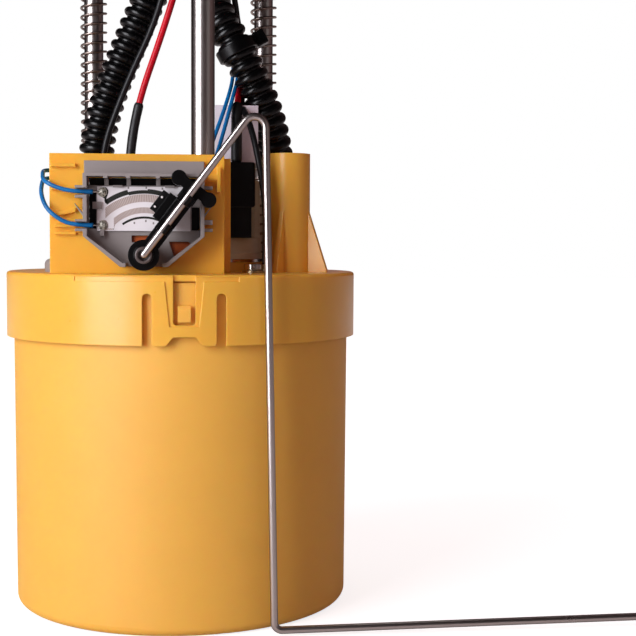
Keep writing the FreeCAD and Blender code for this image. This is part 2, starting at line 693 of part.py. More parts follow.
def make_lid():
    inside = S.lid_radius - S.lid_skin
    foot = S.lid_height - S.skirt_height
    shell = turned("lid_shell", [
        (0, S.lid_height), (S.lid_radius, S.lid_height), (S.lid_radius, foot), (inside, foot),
        (inside, LID_UNDER), (0, LID_UNDER)])
    rounded(shell, S.lid_edge_round, lambda edge: is_ring(edge, S.lid_radius, S.lid_height))
    added = [shell,
             cylinder("pump_collar", S.collar_radius, S.collar_rise + 0.5, (*PUMP, S.lid_height - 0.5)),
             cylinder("post_tube", S.post_radius, S.post_height + 0.5,
                      (S.post_x, S.post_y, S.lid_height - 0.5)),
             cylinder("regulator_cup", S.regulator_radius + 2.0, 7.0,
                      (S.regulator_x, S.regulator_y, LID_UNDER - 6.5))]
    added += [post_rib(number) for number in range(4)]
    for side, (x, y) in ROD_PLACES.items():
        rise = sized(0) if side == "centre" else S.rod_boss_rise
        added.append(cylinder(f"rod_boss_{side}", S.rod_boss_radius, S.rod_boss_drop + S.lid_plate + rise,
                              (x, y, BOSS_FOOT)))
    deep = S.lid_height - 30.0
    tools = [cylinder("pump_opening", S.case_radius + 1.2, 60.0, (*PUMP, deep)),
             cylinder("post_hollow", S.post_bore, S.post_height + 2.0, (S.post_x, S.post_y, S.lid_height)),
             cylinder("regulator_hole", S.regulator_radius + 0.1, 6.6,
                      (S.regulator_x, S.regulator_y, LID_UNDER - 6.6)),
             cylinder("plug_hole", S.plug_stem + S.running_gap, 60.0, (S.plug_x, S.plug_y, deep)),
             cylinder("screw_hole", S.screw_radius + S.running_gap, 60.0, (S.screw_x, S.screw_y, deep)),
             cylinder("grommet_hole", S.grommet_radius - 1.0, 60.0, (S.grommet_x, S.grommet_y, deep))]
    for side, (x, y) in ROD_PLACES.items():
        tools.append(cylinder(f"rod_bore_{side}", ROD_RADII[side] + S.running_gap, 60.0, (x, y, deep)))
    for side, (x, y) in ELBOWS.items():
        tools.append(cylinder(f"elbow_hole_{side}", S.elbow_stem + S.running_gap, 60.0, (x, y, deep)))
    tools += [tongue_tools(number, angle) for number, angle in enumerate(TONGUE_TURNS)]
    return node("reservoir_lid", cut("lid_body", fuse("lid_solid", *added), *tools))


def make_lid_trim():
    top = S.lid_height
    plug = turned("plug_turn", [
        (0, LID_UNDER - 2.0), (S.plug_stem, LID_UNDER - 2.0), (S.plug_stem, top), (S.plug_radius, top),
        (S.plug_radius, top + S.plug_rise), (0, top + S.plug_rise)], (S.plug_x, S.plug_y, 0))
    rounded(plug, 2.0, lambda edge: is_ring(edge, S.plug_radius, S.lid_height + S.plug_rise))
    node("lid_plug", plug)
    head = S.screw_radius + 1.6
    screw = turned("screw_turn", [
        (0, top - 6.0), (S.screw_radius - 0.5, top - 6.0), (S.screw_radius, top - 5.0),
        (S.screw_radius, top + 1.2), (head, top + 1.2), (head, top + 3.0), (0, top + 3.0)])
    slot = box("screw_slot", (-head - 1.0, -0.4, top + 2.2), (head + 1.0, 0.4, top + 4.0))
    whole = cut("screw_body", screw, slot)
    node("lid_screw", place(whole, (S.screw_x, S.screw_y, 0)))
    radius = S.grommet_radius
    neck = radius - 1.0 - S.running_gap
    grommet = turned("grommet_turn", [
        (0, LID_UNDER - 1.4), (radius, LID_UNDER - 1.4), (radius, LID_UNDER), (neck, LID_UNDER), (neck, top),
        (radius, top), (radius, top + 1.6), (0, top + 1.6)])
    holes = [cylinder(f"grommet_bore_{number}", S.lead_radius + 0.02, 12.0, (shift, 0, LID_UNDER - 4.0))
             for number, shift in enumerate((-LEAD_SHIFT, LEAD_SHIFT))]
    node("lead_grommet", place(cut("grommet_body", grommet, *holes), (S.grommet_x, S.grommet_y, 0)))


def make_elbow(name, side, foot):
    """A hose nozzle on the lid whose stem goes down into the cup."""
    top = S.lid_height
    stem = S.elbow_stem
    body = turned(f"{name}_turn", [
        (S.elbow_bore, foot), (stem, foot), (stem, top), (S.elbow_collar, top), (S.elbow_collar, top + 3.0),
        (stem, top + 3.0), (stem, top + 5.0), (S.hose_bore - 0.05, top + 5.0), (stem, top + 8.0),
        (stem, top + 8.6), (S.hose_bore - 0.05, top + 8.6), (stem - 0.4, BARB_TOP), (S.elbow_bore, BARB_TOP)])
    return node(name, place(body, (*ELBOWS[side], 0)))


def make_inner_pipes():
    make_elbow("outlet_elbow", "left", LID_UNDER - 4.0)
    make_elbow("return_elbow", "right", LID_UNDER - 8.0)
    x, y = ELBOWS["right"]
    foot = S.jet_height + S.jet_radius - 0.6
    top = LID_UNDER - 8.0
    pipe = turned("return_pipe_turn", [
        (S.elbow_bore, foot + 2.0), (S.elbow_stem - 0.8, foot + 2.0), (S.elbow_stem - 0.8, top),
        (S.elbow_bore, top)])
    node("return_pipe", place(pipe, (x, y, 0)))
    half = S.jet_length / 2
    tube_out = cylinder("jet_tube", S.jet_radius, S.jet_length, (0, half, 0), X_AXIS, 90)
    throat = cone("jet_throat", 1.6, S.jet_radius - 1.2, S.jet_length * 0.72,
                  (0, half - S.jet_length * 0.28, 0), X_AXIS, 90)
    nozzle = cylinder("jet_nozzle", 1.1, S.jet_length, (0, half, 0), X_AXIS, 90)
    riser = cylinder("jet_riser", S.elbow_stem, S.jet_radius + 1.4, (0, 0, 0))
    riser_bore = cylinder("jet_riser_bore", S.elbow_bore, S.jet_radius + 3.0, (0, 0, 0))
    foot_plate = box("jet_foot", (-S.jet_radius, -half + 4.0, S.cup_floor - S.jet_height),
                     (S.jet_radius, half - 4.0, -S.jet_radius + 1.6))
    jet = cut("jet_body", fuse("jet_solid", tube_out, riser, foot_plate), throat, nozzle, riser_bore)
    node("jet_pump", place(jet, (x, y, S.jet_height)))


def make_regulator():
    top = LID_UNDER
    low = top - S.regulator_height
    radius = S.regulator_radius
    can = turned("regulator_turn", [
        (0, low), (radius - 3.5, low), (radius - 3.0, low + 5.0), (radius - 0.3, low + 5.6),
        (radius - 0.3, low + 9.0), (radius + 0.7, low + 9.0), (radius + 0.7, low + 10.6), (radius, low + 10.6),
        (radius, top - 1.0), (radius - 1.0, top), (0, top)])
    node("pressure_regulator", place(can, (S.regulator_x, S.regulator_y, 0)))
    clip_top = top - 6.5
    ring_low = low + 10.6
    legs = cut("regulator_clip_body",
               cylinder("clip_out", radius + 2.0, clip_top - ring_low, (0, 0, ring_low)),
               cylinder("clip_in", radius + 0.1, 20.0, (0, 0, ring_low - 5.0)),
               box("clip_gap", (-radius - 4.0, 1.5 - radius / 2, ring_low - 1.0),
                   (radius + 4.0, radius / 2 - 1.5, clip_top + 1.0)))
    node("regulator_clip", place(legs, (S.regulator_x, S.regulator_y, 0)))


# The pump and its electric motor

def make_pump():
    low, high = S.case_bottom, S.case_bottom + S.case_length
    radius, wall = S.case_radius, S.case_wall
    node("pump_case", place(turned("case_turn", [
        (radius - 2.2, low), (radius, low), (radius, high), (radius - 2.2, high), (radius - 2.2, high - wall),
        (radius - wall, high - wall), (radius - wall, low + wall), (radius - 2.2, low + wall)]), (*PUMP, 0)))
    inner = radius - 2.2 - S.running_gap
    inside = radius - wall - S.running_gap
    neck = 4.2
    node("pump_inlet_cap", place(turned("inlet_turn", [
        (2.2, S.inlet_rise - 6.0), (neck, S.inlet_rise - 6.0), (neck, S.inlet_rise), (inner, S.inlet_rise),
        (inner, low + wall), (inside, low + wall), (inside, low + 6.0), (2.2, low + 6.0)]), (*PUMP, 0)))
    cap = turned("outlet_turn", [
        (S.shaft_radius + S.running_gap, high - 8.0), (inside, high - 8.0), (inside, high - wall),
        (inner, high - wall), (inner, high + 7.0), (inner - 2.0, high + 9.0),
        (S.shaft_radius + S.running_gap, high + 9.0)])
    nozzle_top = high + S.outlet_rise
    nozzle = turned("nozzle_turn", [
        (1.9, high + 5.0), (S.outlet_radius, high + 5.0), (S.outlet_radius, nozzle_top - 4.0),
        (S.outlet_radius + 0.6, nozzle_top - 4.0), (S.outlet_radius - 0.4, nozzle_top), (1.9, nozzle_top)],
        (-8.0, 5.0, 0))
    node("pump_outlet_cap", place(fuse("outlet_cap_body", cap, nozzle), (*PUMP, 0)))
    blade_low = high + 9.0
    node("pump_terminals", fuse("terminal_pair", *[
        box(f"terminal_{number}", (S.pump_x + shift - 0.4, S.pump_y - 12.0, blade_low),
            (S.pump_x + shift + 0.4, S.pump_y - 8.0, blade_low + 9.0))
        for number, shift in enumerate((-2.0, 9.0))]))
    magnet_out = radius - wall - 0.05
    magnet_low, magnet_high = S.armature_bottom - 3.0, S.armature_bottom + S.armature_length + 3.0
    ring = cut("magnet_ring", cylinder("magnet_out", magnet_out, magnet_high - magnet_low, (0, 0, magnet_low)),
               cylinder("magnet_in", magnet_out - S.magnet_thickness, 90.0, (0, 0, magnet_low - 5.0)),
               box("magnet_gap", (-4.0, -30.0, magnet_low - 5.0), (4.0, 30.0, magnet_high + 5.0)))
    node("motor_magnets", place(ring, (*PUMP, 0)))


def make_motor_rotor():
    radius = S.shaft_radius
    impeller_low = S.case_bottom + 8.0
    node("motor_shaft", cylinder("shaft", radius, S.case_length - 9.5, (*PUMP, S.case_bottom + 7.0)))
    disc = cylinder("impeller_disc", S.impeller_radius, S.impeller_thickness, (0, 0, 0))
    tools = [cylinder("impeller_bore", radius, 10.0, (0, 0, -2.0))]
    count = int(float(S.impeller_blades))
    for number in range(count):
        gap = doc.addObject("Part::Box", f"impeller_gap_{number}")
        bind(gap, "Length", 3.4)
        bind(gap, "Width", 1.4)
        bind(gap, "Height", 10.0)
        turn = Rotation(Z_AXIS, 360 * number / count)
        gap.Placement = Placement(turn.multVec(Vector(float(S.impeller_radius) - 2.4, -0.7, -1.0)), turn)
        tools.append(gap)
    node("impeller", place(cut("impeller_body", disc, *tools), (*PUMP, impeller_low)))
    core = turned("armature_turn", [
        (radius, 0), (5.0, 0), (5.0, 2.0), (S.armature_radius, 4.0),
        (S.armature_radius, S.armature_length - 6.0), (8.0, S.armature_length - 4.0),
        (8.0, S.armature_length), (radius, S.armature_length)])
    node("armature", place(core, (*PUMP, S.armature_bottom)))


def make_pump_mounting():
    seat_top = S.cup_floor + S.seat_ring_height
    neck = 4.2
    inner = S.case_radius - 2.2
    node("pump_isolator", place(turned("isolator_turn", [
        (neck + 4.5, seat_top), (S.isolator_radius, seat_top), (S.isolator_radius, S.inlet_rise + 4.0),
        (inner + 0.1, S.inlet_rise + 4.0), (inner + 0.1, S.inlet_rise - 0.1),
        (neck + 4.5, S.inlet_rise - 0.1)]),
        (*PUMP, 0)))
    low = S.cup_floor + 0.3
    high = low + S.strainer_height
    radius = S.strainer_radius
    sock = turned("strainer_turn", [
        (0, low), (radius - 1.6, low), (radius, low + 1.6), (radius, high - 1.6), (radius - 2.4, high),
        (neck - 0.2, high), (neck - 0.2, S.inlet_rise - 6.1), (0, S.inlet_rise - 6.1)])
    node("inlet_strainer", place(sock, (*PUMP, 0)))
    base = S.lid_height + S.collar_rise
    node("holder_ring", place(turned("holder_ring_turn", [
        (S.case_radius + 1.2, base), (S.ring_radius, base), (S.ring_radius, base + S.ring_thickness),
        (S.case_radius + 1.2, base + S.ring_thickness)]), (*PUMP, 0)))
    flange_low = base + S.ring_thickness
    flange_top = flange_low + S.holder_flange
    band_top = flange_top + S.holder_band
    wall = S.holder_wall
    holder = turned("holder_turn", [
        (S.case_radius + 0.4, flange_low), (S.holder_radius + 0.5, flange_low),
        (S.holder_radius + 0.5, flange_top),
        (S.holder_radius, flange_top), (S.holder_radius, band_top), (S.sleeve_radius, band_top),
        (S.sleeve_radius, SLEEVE_TOP), (8.0, SLEEVE_TOP), (8.0, SLEEVE_TOP - wall),
        (S.sleeve_radius - wall, SLEEVE_TOP - wall), (S.sleeve_radius - wall, band_top),
        (S.case_radius + 0.4, band_top - wall)])
    top_opening = box("holder_opening", (S.plug_box_left - S.pump_x - 0.5, S.plug_box_front - S.pump_y - 8.0,
                                         band_top),
                      (S.plug_box_right - S.pump_x + 0.5, S.plug_box_back - S.pump_y + 0.5, SLEEVE_TOP + 5.0))
    node("pump_holder", place(cut("holder_body", holder, top_opening), (*PUMP, 0)))
    lower = box("plug_lower", (S.plug_box_left, S.plug_box_front + 1.2, band_top + 0.1),
                (S.plug_box_right - 1.3, S.plug_box_back - 1.0, PLUG_STEP + 0.5))
    upper = extruded("plug_upper", "XZ_Plane", S.plug_box_back - S.plug_box_front, [[
        (S.plug_box_left, PLUG_STEP), (S.plug_box_right, PLUG_STEP),
        (S.plug_box_right, PLUG_TOP), (S.plug_box_left, PLUG_TOP)]],
        (0, S.plug_box_back, 0))
    rounded(upper, 1.0, lambda edge: is_upright(edge, Y_AXIS) or is_upright(edge, Z_AXIS))
    lead_hole = cylinder("plug_lead_hole", S.lead_radius + 0.05, 12.0, (*PLUG_LEAD, PLUG_TOP - 8.0))
    node("pump_connector", cut("plug_body", fuse("plug_solid", lower, upper), lead_hole))


# The bracket block and the level sender

# Each clip ledge: its lower edge above the pivot at its left and right ends, its thickness and its inset

BRACKET_LEDGES = ((28.9, 28.9, 1.1, 0.0), (21.3, 21.3, 1.2, 0.0), (12.3, 14.1, 1.3, 0.0),
                  (10.9, 10.9, 0.9, 2.4), (9.0, 9.0, 0.9, 1.2), (6.6, 6.6, 0.9, 1.2))

# The latch's bar and its tooth, low and high edges above the pivot

LATCH_BAR, LATCH_TOOTH = (sized(20.9), sized(29.2)), (sized(24.8), sized(26.5))


def make_bracket():
    left, right = S.bracket_left, S.bracket_right
    front, back = S.bracket_front, S.bracket_back
    low, top, wall = S.lid_height, BRACKET_TOP, S.bracket_wall
    solid = box("bracket_block", (left, front, low), (right, back, top))
    wing = box("bracket_wing", (right - wall, back - 0.5, low), (right + S.wing_width, back + 1.6, top - 0.3))
    guide = cylinder("bracket_guide", S.rod_radius + 2.2, top - low, (*ROD_PLACES["centre"], low))
    left_end, right_end = left + S.ledge_inset, S.sender_x - S.frame_half - 2.8
    ledges = []
    for number, (left_low, right_low, thick, inset) in enumerate(BRACKET_LEDGES):
        ledges.append(extruded(f"bracket_ledge_{number}", "XZ_Plane", S.ledge_depth + 0.5, [[
            (left_end + inset, PIVOT_Z + left_low), (right_end, PIVOT_Z + right_low),
            (right_end, PIVOT_Z + right_low + thick), (left_end + inset, PIVOT_Z + left_low + thick)]],
            (0, front + 0.5, 0)))
    latch_x = S.sender_x + S.frame_half + S.latch_gap
    latch_front = front - S.latch_reach
    latch = [box("latch_bar", (latch_x, latch_front, PIVOT_Z + LATCH_BAR[0]),
                 (latch_x + 1.2, front + 0.5, PIVOT_Z + LATCH_BAR[1])),
             box("latch_tooth", (latch_x - 3.1, latch_front, PIVOT_Z + LATCH_TOOTH[0]),
                 (latch_x + 0.5, front - 2.8, PIVOT_Z + LATCH_TOOTH[1]))]
    hollow = box("bracket_hollow", (left + wall, front + wall, low - 1.0),
                 (right - wall, back + 1.0, top - wall))
    ribs = [box(f"bracket_rib_{number}", (rib_x, front + wall - 0.5, low),
                (rib_x + 1.6, back - 3.0, top - wall + 0.5))
            for number, rib_x in enumerate((S.sender_x - 13.0, S.sender_x + 6.0))]
    shell = cut("bracket_shell", solid, hollow)
    body = fuse("bracket_solid", shell, wing, guide, *ledges, *latch, *ribs)
    bore = cylinder("bracket_bore", S.rod_radius + S.running_gap, 60.0, (*ROD_PLACES["centre"], low - 5.0))
    half_window = S.frame_half - S.frame_wall
    window = box("bracket_window", (S.sender_x - half_window, front - 8.0, PIVOT_Z + S.card_rise),
                 (S.sender_x + half_window, front + wall + 0.6, PIVOT_Z + S.frame_rise - S.frame_band - 0.6))
    node("sender_bracket", cut("bracket_body", body, bore, window))


def frame_outline(inset):
    """The sender frame's silhouette, drawn about its pivot and moved in by a wall."""
    half = S.frame_half - inset
    foot_half = S.frame_foot_half - inset * 0.6
    return [
        (-half, S.frame_rise - inset), (-half, S.shoulder_rise), (-foot_half, inset - S.frame_drop),
        (foot_half, inset - S.frame_drop), (half, S.shoulder_rise), (half, S.frame_rise - inset)]


# The frame's side prongs, low and high edges above the pivot, and its two arrows

PRONGS = ((21.6, 22.7), (18.6, 19.8), (10.0, 11.6), (7.7, 8.8))
ARROW_TOP, ARROW_LOW = sized(16.9), sized(12.7)

# Openings in the frame's face, drawn about the pivot: four above the card by their sides, one arch, one slant

TOP_OPENINGS = ((-18.4, -13.1), (-11.7, -5.8), (-4.4, 3.9), (5.3, 18.4))
ARCH_LOW, ARCH_HIGH = (-4.2, 4.1), (2.3, 6.4)
SLANT_OPENING = [(8.1, 4.4), (14.5, 4.4), (15.9, 3.0), (9.9, -1.4)]

# Two upright openings beside the card, by their lower left and upper right corners

SIDE_OPENINGS = ((-18.2, 8.6, -15.8, 21.0), (15.6, 8.2, 18.2, 15.8))

# Clips over the card's top edge, by their sides, and two tabs by their lower left and upper right corners

CARD_CLIPS = ((-10.2, -7.0), (6.8, 10.0))
CARD_TABS = ((-16.9, 15.1, -14.0, 17.4), (-14.5, 6.2, -13.1, 8.2))


def make_sender_frame():
    """Everything is drawn about the pivot and moved there at the end: local Y 0 is the bracket's face."""
    top = S.frame_rise
    window_top = top - S.frame_band - 0.4
    card_top = S.card_rise + S.card_height
    plate = extruded("frame_plate_pad", "XZ_Plane", S.frame_plate, [frame_outline(0)])
    wall_top = top - S.frame_band + 0.6
    band_cut = box("frame_band_cut", (-S.frame_half - 1.0, -20.0, wall_top),
                   (S.frame_half + 1.0, -S.frame_plate, top + 1.0))
    rim = extruded("frame_rim_pad", "XZ_Plane", S.frame_depth, [frame_outline(0), frame_outline(S.frame_wall)])
    bar = box("frame_top_bar", (-S.frame_half, -S.frame_depth, wall_top - 1.6), (S.frame_half, 0, wall_top))
    foot_opening = box("frame_foot_opening", (-S.hub_radius - 0.9, -20.0, -12.0),
                       (S.hub_radius + 0.9, -S.frame_plate, 0))
    wall_ring = cut("frame_walls", fuse("frame_wall_solid", rim, bar), band_cut, foot_opening)
    pin = cylinder("frame_pin", S.pivot_pin, -S.hub_front + S.bracket_front - 1.0, (0, 0, 0), X_AXIS, 90)
    prongs = []
    inner, outer = S.frame_half - 0.4, S.frame_half + S.prong_reach
    for side in (-1, 1):
        ends = (side * inner, side * outer) if side > 0 else (side * outer, side * inner)
        for number, (low, high) in enumerate(PRONGS):
            prongs.append(box(f"prong_{side + 1}_{number}", (ends[0], -6.0, low), (ends[1], -1.0, high)))
        prongs.append(extruded(f"arrow_{side + 1}", "XZ_Plane", 4.6, [[
            (side * (outer + 0.2), ARROW_TOP), (side * (outer - 0.4), ARROW_TOP - 1.2),
            (side * (inner - 0.2), ARROW_LOW - 1.2), (side * (inner - 0.2), ARROW_LOW)]], (0, -1.2, 0)))
    slots = []
    for number, (low, high) in enumerate(TOP_OPENINGS):
        slots.append(box(f"frame_slot_{number}", (low, -20.0, card_top + 0.4), (high, 1.0, window_top)))
    for number, (left, low, right, high) in enumerate(SIDE_OPENINGS):
        slots.append(box(f"frame_side_slot_{number}", (left, -S.frame_plate - 0.1, low), (right, 1.0, high)))
    slots.append(box("frame_arch", (ARCH_LOW[0], -20.0, ARCH_LOW[1]), (ARCH_HIGH[0], 1.0, ARCH_HIGH[1])))
    slots.append(extruded("frame_slant", "XZ_Plane", 5.0, [SLANT_OPENING], (0, 2.5, 0)))
    clip_front = -S.frame_plate - S.card_thickness - 1.0
    clip_back = -S.frame_plate + 0.2
    clips = [box(f"card_clip_{number}", (low, clip_front, card_top - 0.3), (high, clip_back, card_top + 1.1))
             for number, (low, high) in enumerate(CARD_CLIPS)]
    clips += [box(f"card_tab_{number}", (left, clip_front, low), (right, clip_back, high))
              for number, (left, low, right, high) in enumerate(CARD_TABS)]
    for number, height in enumerate(LEAD_HEIGHTS):
        slots.append(box(f"frame_notch_{number}",
                         (-S.frame_half - 3.0, -20.0, height - PIVOT_Z - S.signal_radius - 0.3),
                         (-S.frame_half + S.frame_wall + 1.0, -S.frame_plate - 0.1,
                          height - PIVOT_Z + S.signal_radius + 0.3)))
    gap = 0.05
    seats = cut("card_clip_seat", fuse("card_clips", *clips),
                box("card_clip_cut", (S.card_offset - S.card_half - gap,
                                      -S.frame_plate - S.card_thickness - S.track_rise - gap, S.card_rise - gap),
                    (S.card_offset + S.card_half + gap, -S.frame_plate + 1.0, card_top + gap)))
    body = cut("frame_body", fuse("frame_solid", plate, wall_ring, pin, seats, *prongs), *slots)
    node("sender_frame", place(body, (S.sender_x, S.bracket_front, PIVOT_Z)))


def ring_sector(name, outer, inner, start, end, back, thickness):
    """A flat arc about the pivot, from one angle to another, as wide as outer less inner."""
    outer, inner = float(outer), float(inner)
    spots = []
    for radius, angle in ((outer, start), (outer, (start + end) / 2), (outer, end),
                          (inner, end), (inner, (start + end) / 2), (inner, start)):
        turn = math.radians(angle)
        spots.append(Vector(radius * math.cos(turn), 0, radius * math.sin(turn)))
    edges = [Part.Arc(spots[0], spots[1], spots[2]).toShape(), Part.LineSegment(spots[2], spots[3]).toShape(),
             Part.Arc(spots[3], spots[4], spots[5]).toShape(), Part.LineSegment(spots[5], spots[0]).toShape()]
    sector = Part.Face(Part.Wire(edges)).extrude(Vector(0, -float(thickness), 0))
    sector.translate(Vector(float(S.sender_x), float(back), float(PIVOT_Z)))
    return sector


# The printed arcs: name, outer and inner radius about the pivot, first and last angle

TRACKS = (("outer_track", 21.4, 20.4, 40, 139), ("wide_track", 20.0, 17.6, 42, 138),
          ("inner_track", 15.7, 13.8, 45, 135), ("return_track", 12.7, 12.0, 46, 134))


def make_card():
    back = S.bracket_front - S.frame_plate
    centre = S.sender_x + S.card_offset
    card = extruded("card_pad", "XZ_Plane", S.card_thickness, [[
        (-S.card_half, 0), (S.card_half, 0), (S.card_half, S.card_height), (-S.card_half, S.card_height)]],
        (centre, back, PIVOT_Z + S.card_rise))
    node("resistor_card", card)
    front = back - S.card_thickness
    tracks = [ring_sector(*track, front, S.track_rise) for track in TRACKS]
    low = PIVOT_Z + S.card_rise
    margin = 0.3
    corner = Vector(float(centre - S.card_half) + margin, float(front) - 2, float(low) + margin)
    card_shape = Part.makeBox(2 * (float(S.card_half) - margin), 4, float(S.card_height) - 2 * margin, corner)
    together("card_tracks", [track.common(card_shape) for track in tracks])
    rivets = [turned(f"rivet_{number}", [(0, 0), (1.5, 0), (1.5, 0.5), (0.7, 1.0), (0, 1.0)],
                     (TERMINAL_X, front, height), X_AXIS, 90)
              for number, height in enumerate(LEAD_HEIGHTS)]
    node("card_rivets", fuse("rivet_pair", *rivets))


def make_wiper():
    """The wiper is drawn with its arm along +X, then turned to the arm's angle about the pivot."""
    back = 5.0
    front = -S.hub_front + S.bracket_front
    hub = cylinder("wiper_hub", S.hub_radius, front - back, (0, -back, 0), X_AXIS, 90)
    blade_front = front - 0.6
    blade_back = S.frame_depth + 0.9
    arm = box("wiper_arm", (2.0, -blade_front, -2.6), (23.0, -blade_back, 2.6))
    arm_low = box("wiper_shoulder", (11.8, -blade_back - 1.0, -1.0), (21.5, -4.9, 5.4))
    bar = box("wiper_crossbar_mid", (25.2, -blade_front, -6.9), (28.8, -blade_back, 6.9))
    neck = box("wiper_neck", (22.0, -blade_front, -3.0), (26.0, -blade_back, 3.0))
    lobes = [cylinder(f"wiper_lobe_{number}", 2.5, blade_front - blade_back,
                      (27.0, -blade_back, reach), X_AXIS, 90) for number, reach in enumerate((-6.0, 6.0))]
    wire_local = S.wire_y - S.bracket_front
    clips = [box(f"wire_clip_{number}", (along, wire_local - 0.8, -2.6), (along + 3.2, -blade_front + 0.5, 2.6))
             for number, along in enumerate((9.5, 21.0))]
    hub_front = cylinder("wiper_boss", 3.2, 1.6, (0, -front, 0), X_AXIS, 90)
    solid = fuse("wiper_solid", hub, arm, arm_low, bar, neck, hub_front, *lobes, *clips)
    pin_hole = cylinder("wiper_pin_hole", S.pivot_pin + S.running_gap, 30.0, (0, 1.0, 0), X_AXIS, 90)
    wire_groove = cylinder("wiper_wire_groove", S.wire_radius + 0.02, 60.0, (-1.0, wire_local, 0), Y_AXIS, 90)
    place_on_pivot("wiper", cut("wiper_body", solid, pin_hole, wire_groove))
    face = box("contact_face", (13.3, -4.9, 1.9), (21.0, -4.5, 7.8))
    dots = [cylinder(f"contact_dot_{number}", 0.6, 2.7, (along, -2.6, 6.8), X_AXIS, 90)
            for number, along in enumerate((14.8, 18.7))]
    place_on_pivot("contact_plate", fuse("contact_body", face, *dots))


def place_on_pivot(name, thing):
    """Turn a piece that was drawn along +X to the arm's angle, and put it on the sender's pivot."""
    thing.Placement = Placement(Vector(), Rotation(Y_AXIS, -float(S.arm_angle)))
    for letter, value in zip("xyz", (S.sender_x, S.bracket_front, PIVOT_Z)):
        bind(thing, f"Placement.Base.{letter}", value)
    return node(name, thing)


def make_float_arm():
    angle = math.radians(float(S.arm_angle))
    x, y, z = float(S.sender_x), float(S.wire_y), float(PIVOT_Z)
    reach = float(S.wire_up)
    start_x, start_z = x + 0.2 * math.cos(angle), z + 0.2 * math.sin(angle)
    top_x, top_z = x + reach * math.cos(angle), z + reach * math.sin(angle)
    route = points((start_x, y, start_z), (top_x, y, top_z), (top_x + float(S.wire_lean), y, S.wire_low),
                   (S.wire_kick_x, y, S.wire_kick_z), (S.wire_end_x, y, S.wire_end_z),
                   (S.wire_end_x, S.wire_y + S.wire_tail, S.wire_end_z))
    bends = [S.wire_top_bend, S.wire_low_bend, S.wire_low_bend, S.wire_low_bend]
    tube("float_wire", route, S.wire_radius, bends=bends)
    half_x, half_z = S.float_length / 2, S.float_height / 2
    low_y = S.wire_y + S.wire_low_bend + 1.6
    block = extruded("float_pad", "XZ_Plane", S.float_width, [[
        (-half_x, -half_z), (half_x, -half_z), (half_x, half_z), (-half_x, half_z)]],
        (S.wire_end_x, low_y + S.float_width, S.wire_end_z))
    rounded(block, S.float_round, lambda edge: is_upright(edge, Y_AXIS))
    hole = cylinder("float_hole", S.wire_radius + S.running_gap, 60.0,
                    (S.wire_end_x, low_y + 40.0, S.wire_end_z), X_AXIS, 90)
    node("float", cut("float_body", block, hole))
    clip = turned("float_clip_turn", [(S.wire_radius, 0), (3.2, 0), (3.2, 0.8), (S.wire_radius, 0.8)],
                  (S.wire_end_x, low_y + S.float_width + 0.3, S.wire_end_z), X_AXIS, -90)
    node("float_clip", clip)


# The flange with its rods, springs and seals

def rod_socket(side, x, y):
    return cylinder(f"rod_socket_{side}", S.socket_radius, S.socket_drop + 1.0,
                    (x, y, S.flange_under - S.socket_drop))


def flange_pipe(name, radius, x, direction):
    """A turret with a level pipe that has a bead and a free end; direction is -1 or 1 along X."""
    base = S.flange_under + S.flange_rim + S.dome_rise
    axis_z = base + S.pipe_height
    turret = cylinder(f"{name}_turret", S.turret_radius, S.pipe_height + 3.0, (x, S.port_y, base - 1.0))
    cap = cone(f"{name}_cap", S.turret_radius, S.turret_radius - 2.0, 1.6,
               (x, S.port_y, base + S.pipe_height + 2.0))
    bead = S.pipe_reach - S.pipe_end
    neck = radius + S.pipe_neck
    pipe = turned(f"{name}_pipe", [
        (0, 0), (neck, 0), (neck, bead), (radius + 1.1, bead + 0.6), (radius + 1.1, bead + 1.8),
        (radius, bead + 2.4), (radius, S.pipe_reach - 0.8), (radius - 0.8, S.pipe_reach), (0, S.pipe_reach)],
        (x, S.port_y, axis_z), Y_AXIS, 90 * direction)
    bore = cylinder(f"{name}_bore", radius - 1.3, S.pipe_reach + 2.0, (x, S.port_y, axis_z),
                    Y_AXIS, 90 * direction)
    return [turret, cap, pipe], bore


